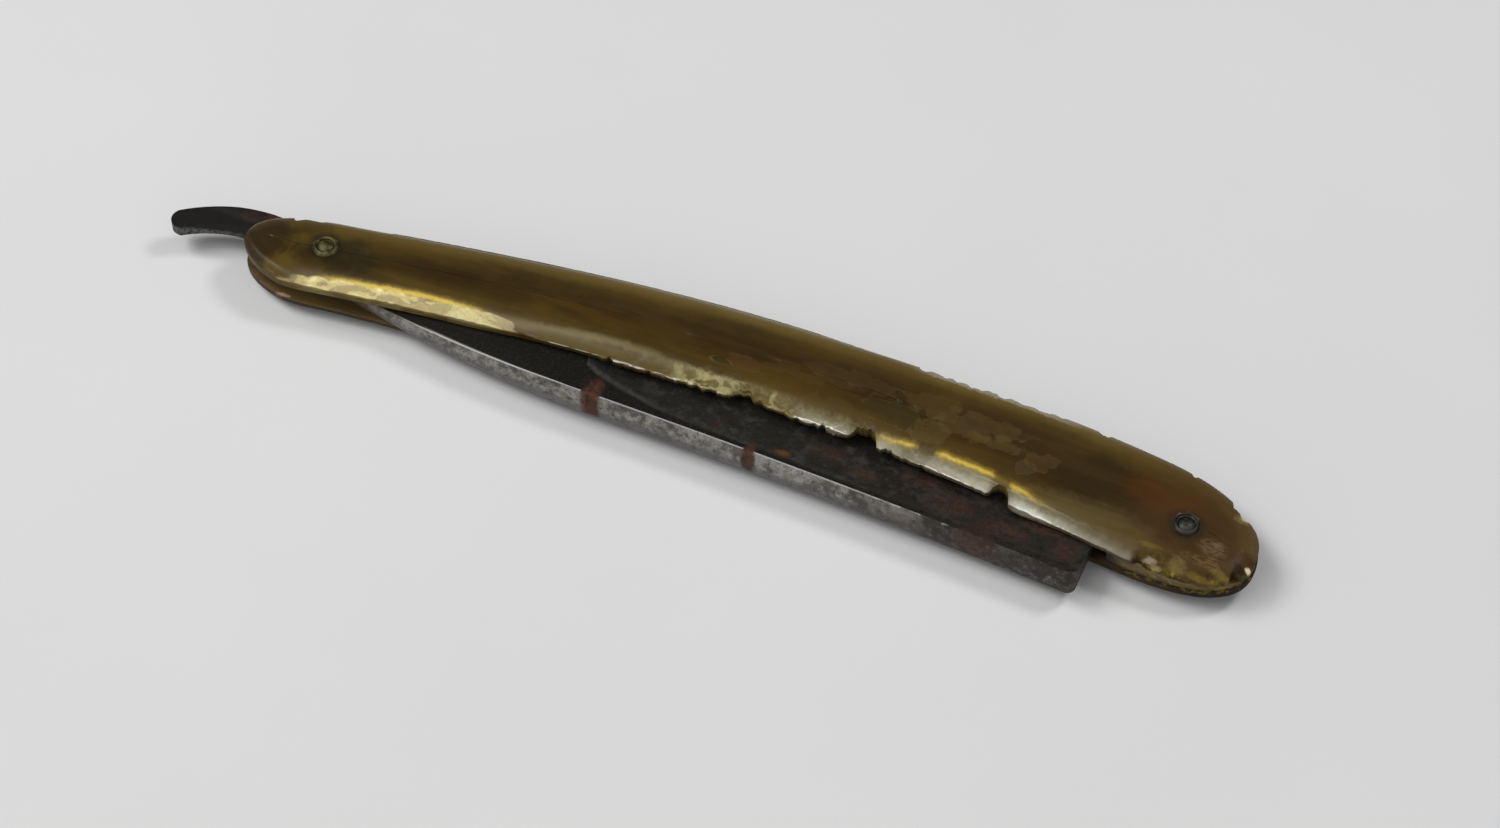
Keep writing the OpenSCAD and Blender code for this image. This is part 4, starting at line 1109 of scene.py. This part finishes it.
def steel_places(finish):
    """What the layers of the steel share: places on the forging, grains, and masks of its ends."""
    at = SimpleNamespace(spot=finish.place())
    at.x, at.y, at.z = finish.split(at.spot)
    at.cloud = grain(at.spot, 5.0, 5.0, 0.6, 0.3)
    at.mottle = grain(at.spot, 1.3, 5.0, 0.65)
    at.pits = grain(at.spot, 0.38, 3.0, 0.6)
    at.speck = grain(at.spot, 0.8, 5.0, 0.7)
    at.dim = largest(ramp(at.x, 2, -8), ramp(at.x + (at.cloud - 0.5) * 24, 82, 100) * 0.9)
    at.grimy = ramp(at.x + (at.mottle - 0.5) * 6, 14, 6) * ramp(at.x, -9.5, -7.5)
    return at


def steel_face(at, spine):
    """Nearly black over the tang, and on the land beside the spine as painted shade, greyer in the hollow
    past its curved run-out.
    """
    x, speck = at.x, at.speck
    shore = along(x, {42.2: 9, 42.8: 5.8, 45: 4.7, 49.2: 3.7, 54: 2.6, 60: 2.0, 118: 1.8}, 0, 10)
    off_shore = spine - shore + (at.mottle - 0.5) * 0.3
    hollow = ramp(off_shore, -0.15, 0.35)
    clouded = ramp(at.mottle * 0.5 + at.cloud * 0.5, 0.47, 0.6) * 0.6 * hollow
    # Painted shade: the land beside the spine as dark as the tang
    return tinted(mix(hollow, (24, 21, 17), (40, 37, 32)),
                  (line(off_shore, 0.5, 0.9) * ramp(x, 60, 48, 0.15, 0.5), (88, 88, 86)),
                  (ramp(speck, 0.42, 0.64) * 0.55, (28, 25, 21)), (ramp(x, 76, 90) * 0.5, (26, 21, 16)),
                  (clouded, (66, 66, 63)), (ramp(at.pits, 0.56, 0.66) * 0.5 * hollow, (22, 19, 16)),
                  (ramp(x, 0, -6) * 0.8, (16, 13, 8)))


def steel_back(at):
    """Bright steel, clouded and pitted, darker below as painted shade, and darker on the tail and toward the
    point.
    """
    x, z, mottle, pits, speck = at.x, at.z, at.mottle, at.pits, at.speck
    clouds = mottle + at.cloud
    bright_place = oval(x, at.y, (76, -14.0), (5.0, 3.0), mottle, 1.0, 0.8)
    dull_tone = tinted(mix(ramp(mottle, 0.4, 0.62), (36, 28, 22), (66, 55, 46)),
                       (ramp(speck, 0.54, 0.64) * ramp(x, -4, 4) * 0.6, (118, 114, 108)))
    corner = ramp(z - ramp(x, -18, -23) * 0.9, 0.1, -0.5) * ramp(x, -12, -21, 0.35, 1)
    corner = corner * ramp(speck, 0.36, 0.54)
    # Painted shade on the lower half of the back
    below = ramp(z + (mottle - 0.5) * 1.6, 0.4, -1.2)
    return tinted(mix(ramp(speck, 0.36, 0.7), (147, 144, 137), (103, 98, 91)),
                  (ramp(clouds, 0.96, 1.12) * 0.6, (58, 54, 48)),
                  (ramp(clouds, 0.94, 0.82) * 0.4, (166, 163, 156)),
                  (bright_place * 0.4, (170, 168, 164)), (below * 0.6, (72, 69, 66)),
                  (ramp(pits, 0.6, 0.68) * 0.8, (38, 35, 32)), (at.dim * 0.85, dull_tone),
                  (ramp(x, -2, -8) * 0.85, (17, 15, 12)), (corner * 0.75, (112, 114, 114)),
                  (corner * ramp(pits, 0.5, 0.62) * 0.8, (36, 33, 29)),
                  (at.grimy * 0.85, mix(ramp(speck, 0.4, 0.6), (56, 42, 20), (96, 74, 36))))


# Rust: two bands over the back and spots about the blade, as centre, reach and strength
RUST_SPOTS = [((46, -10.6), (1.35, 4.4), 1), ((70.2, -11.6), (1, 2.6), 0.95), ((68, -12.8), (1.6, 0.7), 0.7),
              ((74.6, -8.6), (1.3, 0.7), 0.6), ((-9.6, 4.4), (2.4, 1.8), 0.9), ((-14, 3.4), (1.8, 1.2), 0.3),
              ((86, -7.4), (2.4, 1.2), 0.35), ((99, -7.8), (3.6, 2), 0.35), ((112, -6.2), (3, 1.4), 0.6),
              ((107, -9.4), (4, 1.6), 0.4), ((80, -5.6), (3, 1.4), 0.3), ((94, -5), (3.4, 1.2), 0.35),
              ((116, -9), (1.6, 2.6), 0.4), ((92.6, -14), (2.4, 2), 0.5), ((104, -13.2), (3, 2.4), 0.5),
              ((64, -7), (1.4, 0.6), 0.25)]


def steel_rust(at, tone):
    """Rust spots, a brown bloom toward the point, an orange speck and a scraped place."""
    x, y, mottle, speck = at.x, at.y, at.mottle, at.speck
    rust = largest(*[oval(x, y, centre, reach, speck * 0.5 + mottle * 0.5, 1.2, 0.7) * strength
                     for centre, reach, strength in RUST_SPOTS])
    bloom = ramp(x + (at.cloud - 0.5) * 30, 78, 106) * ramp(mottle, 0.34, 0.56)
    orange = oval(x, y, (74.6, -8.5), (0.9, 0.5), speck, 1.2, 0.6)
    scraped = oval(x, y, (114.6, -14.8), (2.2, 1.1), mottle, 1.2, 0.5) * ramp(speck, 0.44, 0.6)
    tone = tinted(tone, (bloom * 0.7, mix(ramp(speck, 0.4, 0.6), (21, 16, 10), (39, 29, 19))),
                  (rust, mix(ramp(speck, 0.35, 0.65), (42, 25, 15), (84, 45, 26))),
                  (orange * 0.5, (104, 70, 32)), (scraped * 0.55, (150, 152, 154)))
    return tone, rust, largest(rust, bloom * 0.8)


def steel_finish():
    """Blade steel: dark scale on the tail and tang, a grey hollow, a bright pitted back and rust."""
    finish = Finish("blade_steel", ior=1.37)
    at = steel_places(finish)
    x, mottle = at.x, at.mottle
    side = ramp(finish.attribute("sideways"), 0.25, 0.6)
    tone, rust, dirt = steel_rust(at, mix(side, steel_face(at, finish.attribute("spine_mm")), steel_back(at)))
    clean = side * (1 - at.dim * 0.6)
    # Painted highlight: the worn arris turned near-white
    worn = finish.attribute("worn") * (1 - ramp(rust, 0.1, 0.5)) * ramp(x, 12, 22)
    broken_off = ramp(mottle, 0.46, 0.52) * ramp(x, 84, 100)
    worn = worn * (1 - broken_off) * ramp(x, 106, 94, 0.08, 1)
    finish.feed("Base Color", mix(worn, tone, (240, 240, 238)))
    finish.feed("Metallic", (0.25 + clean * 0.45) * (1 - dirt * 0.85) * (1 - worn) * (1 - at.grimy * side))
    finish.feed("Roughness", 0.44 - clean * 0.06 + ramp(x, 2, -6) * 0.2 + dirt * 0.3 + (mottle - 0.5) * 0.25)
    brushed = grain(stretched(at.spot, 0.25, 1.5, 1.5), 0.35, 3.0, 0.6)
    finish.bump(brushed * 0.12 - ramp(at.pits, 0.55, 0.7) * 0.5 + mottle * 0.25 + rust * 0.5 * at.pits, 0.08)
    return finish


def old_metal_finish(name, dark, light, stain, metal):
    """Small fittings of old metal, cloudy and stained."""
    finish = Finish(name)
    spot = finish.place()
    fine = grain(spot, 0.28, 4.0, 0.65)
    cloud = grain(spot, 0.9, 4.0, 0.6)
    tone = mix(ramp(cloud, 0.38, 0.66), dark, light)
    finish.feed("Base Color", mix(ramp(fine, 0.5, 0.66) * 0.7, tone, stain))
    finish.feed("Metallic", metal - ramp(fine, 0.5, 0.7) * metal * 0.6)
    finish.feed("Roughness", 0.36 + ramp(cloud, 0.3, 0.8) * 0.3)
    finish.bump(fine * 0.5 + cloud * 0.4, 0.05)
    return finish


def wedge_finish():
    """The wedge's horn: olive and streaked where it shows, nearly black farther in as painted shade."""
    finish = Finish("wedge_horn", ior=1.5)
    spot = finish.place()
    x = finish.split(spot)[0]
    streak = grain(stretched(spot, 0.2, 1, 1), 0.9, 5.0, 0.6)
    fine = grain(spot, 0.5, 4.0, 0.65)
    crumbs = ramp(grain(spot, 1.1, 2.0, 0.5, 0.4), 0.54, 0.62) * ramp(x, 122, 128)
    tone = tinted(mix(ramp(streak, 0.3, 0.7), (66, 50, 18), (106, 86, 36)),
                  (ramp(fine, 0.5, 0.7) * 0.5, (118, 100, 44)), (crumbs * 0.45, (132, 114, 58)),
                  # Painted shade: nearly black at the inner end, in the gap before the blade
                  (ramp(x, 124, 121.5), (30, 16, 9)))
    finish.feed("Base Color", tone)
    finish.feed("Roughness", 0.5 + (fine - 0.5) * 0.3)
    finish.bump(streak * 0.5 + fine * 0.3, 0.08)
    return finish


def paint(node, finish):
    """Gives the frame's own mesh of a node a finish."""
    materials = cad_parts[node].data.materials
    materials.clear()
    materials.append(finish.material)


horn, pale_horn, wedge_horn, steel = front_horn_finish(), back_horn_finish(), wedge_finish(), steel_finish()
brass = old_metal_finish("pivot_brass", (50, 42, 18), (98, 88, 42), (40, 40, 20), 0.5)
dark_steel = old_metal_finish("wedge_steel", (24, 22, 16), (58, 56, 45), (28, 26, 19), 0.4)

stations = outline_stations()
front_far = broken_border(stations, 1, FAR_CHIPS, FAR_ROUGH)
front_near = broken_border(stations, -1, NEAR_CHIPS, NEAR_ROUGH)
back_near = broken_border(stations, -1, BACK_REACH, EVEN)
mesh = scale_mesh("front_horn_scale", front_far, front_near, eaten_relief)
new_piece("front_horn_scale", mesh, horn, "handle", ["front_scale"])
mesh = scale_mesh("back_horn_scale", np.zeros(len(stations)), back_near, mirrored=True)
new_piece("back_horn_scale", mesh, pale_horn, "handle", ["back_scale"])
new_piece("forged_blade", blade_mesh("forged_blade"), steel, "blade", ["razor_blade"])

# Half section of a collar over its seat: radius and height
COLLAR = [(1.22, 0.01), (1.22, 0.3), (1.26, 0.42), (1.36, 0.5), (1.5, 0.52), (1.66, 0.46), (1.8, 0.34),
          (1.93, 0.22), (2.0, 0.12), (2.0, 0.01)]
COLLAR_DENTS = 0.03
for label, size, seat, place, slot, finish in (
        ("pivot", 1.0, PIVOT_SEAT, 0.0, "pivot_brass", brass),
        ("wedge", 0.92, WEDGE_SEAT, PIN_SPACING, "wedge_steel", dark_steel)):
    ring = [(radius * size, height) for radius, height in COLLAR]
    for hand, mirrored in (("front", False), ("back", True)):
        node = f"{hand}_{label}_collar"
        mesh = turned_profile(node + "_ring", ring, seat, place, mirrored, COLLAR_DENTS)
        new_piece(node + "_ring", mesh, finish, "handle", [node])
for node, finish in (("end_wedge", wedge_horn), ("pivot_pin", brass), ("wedge_pin", dark_steel),
                     ("front_pivot_washer", brass), ("back_pivot_washer", brass)):
    paint(node, finish)
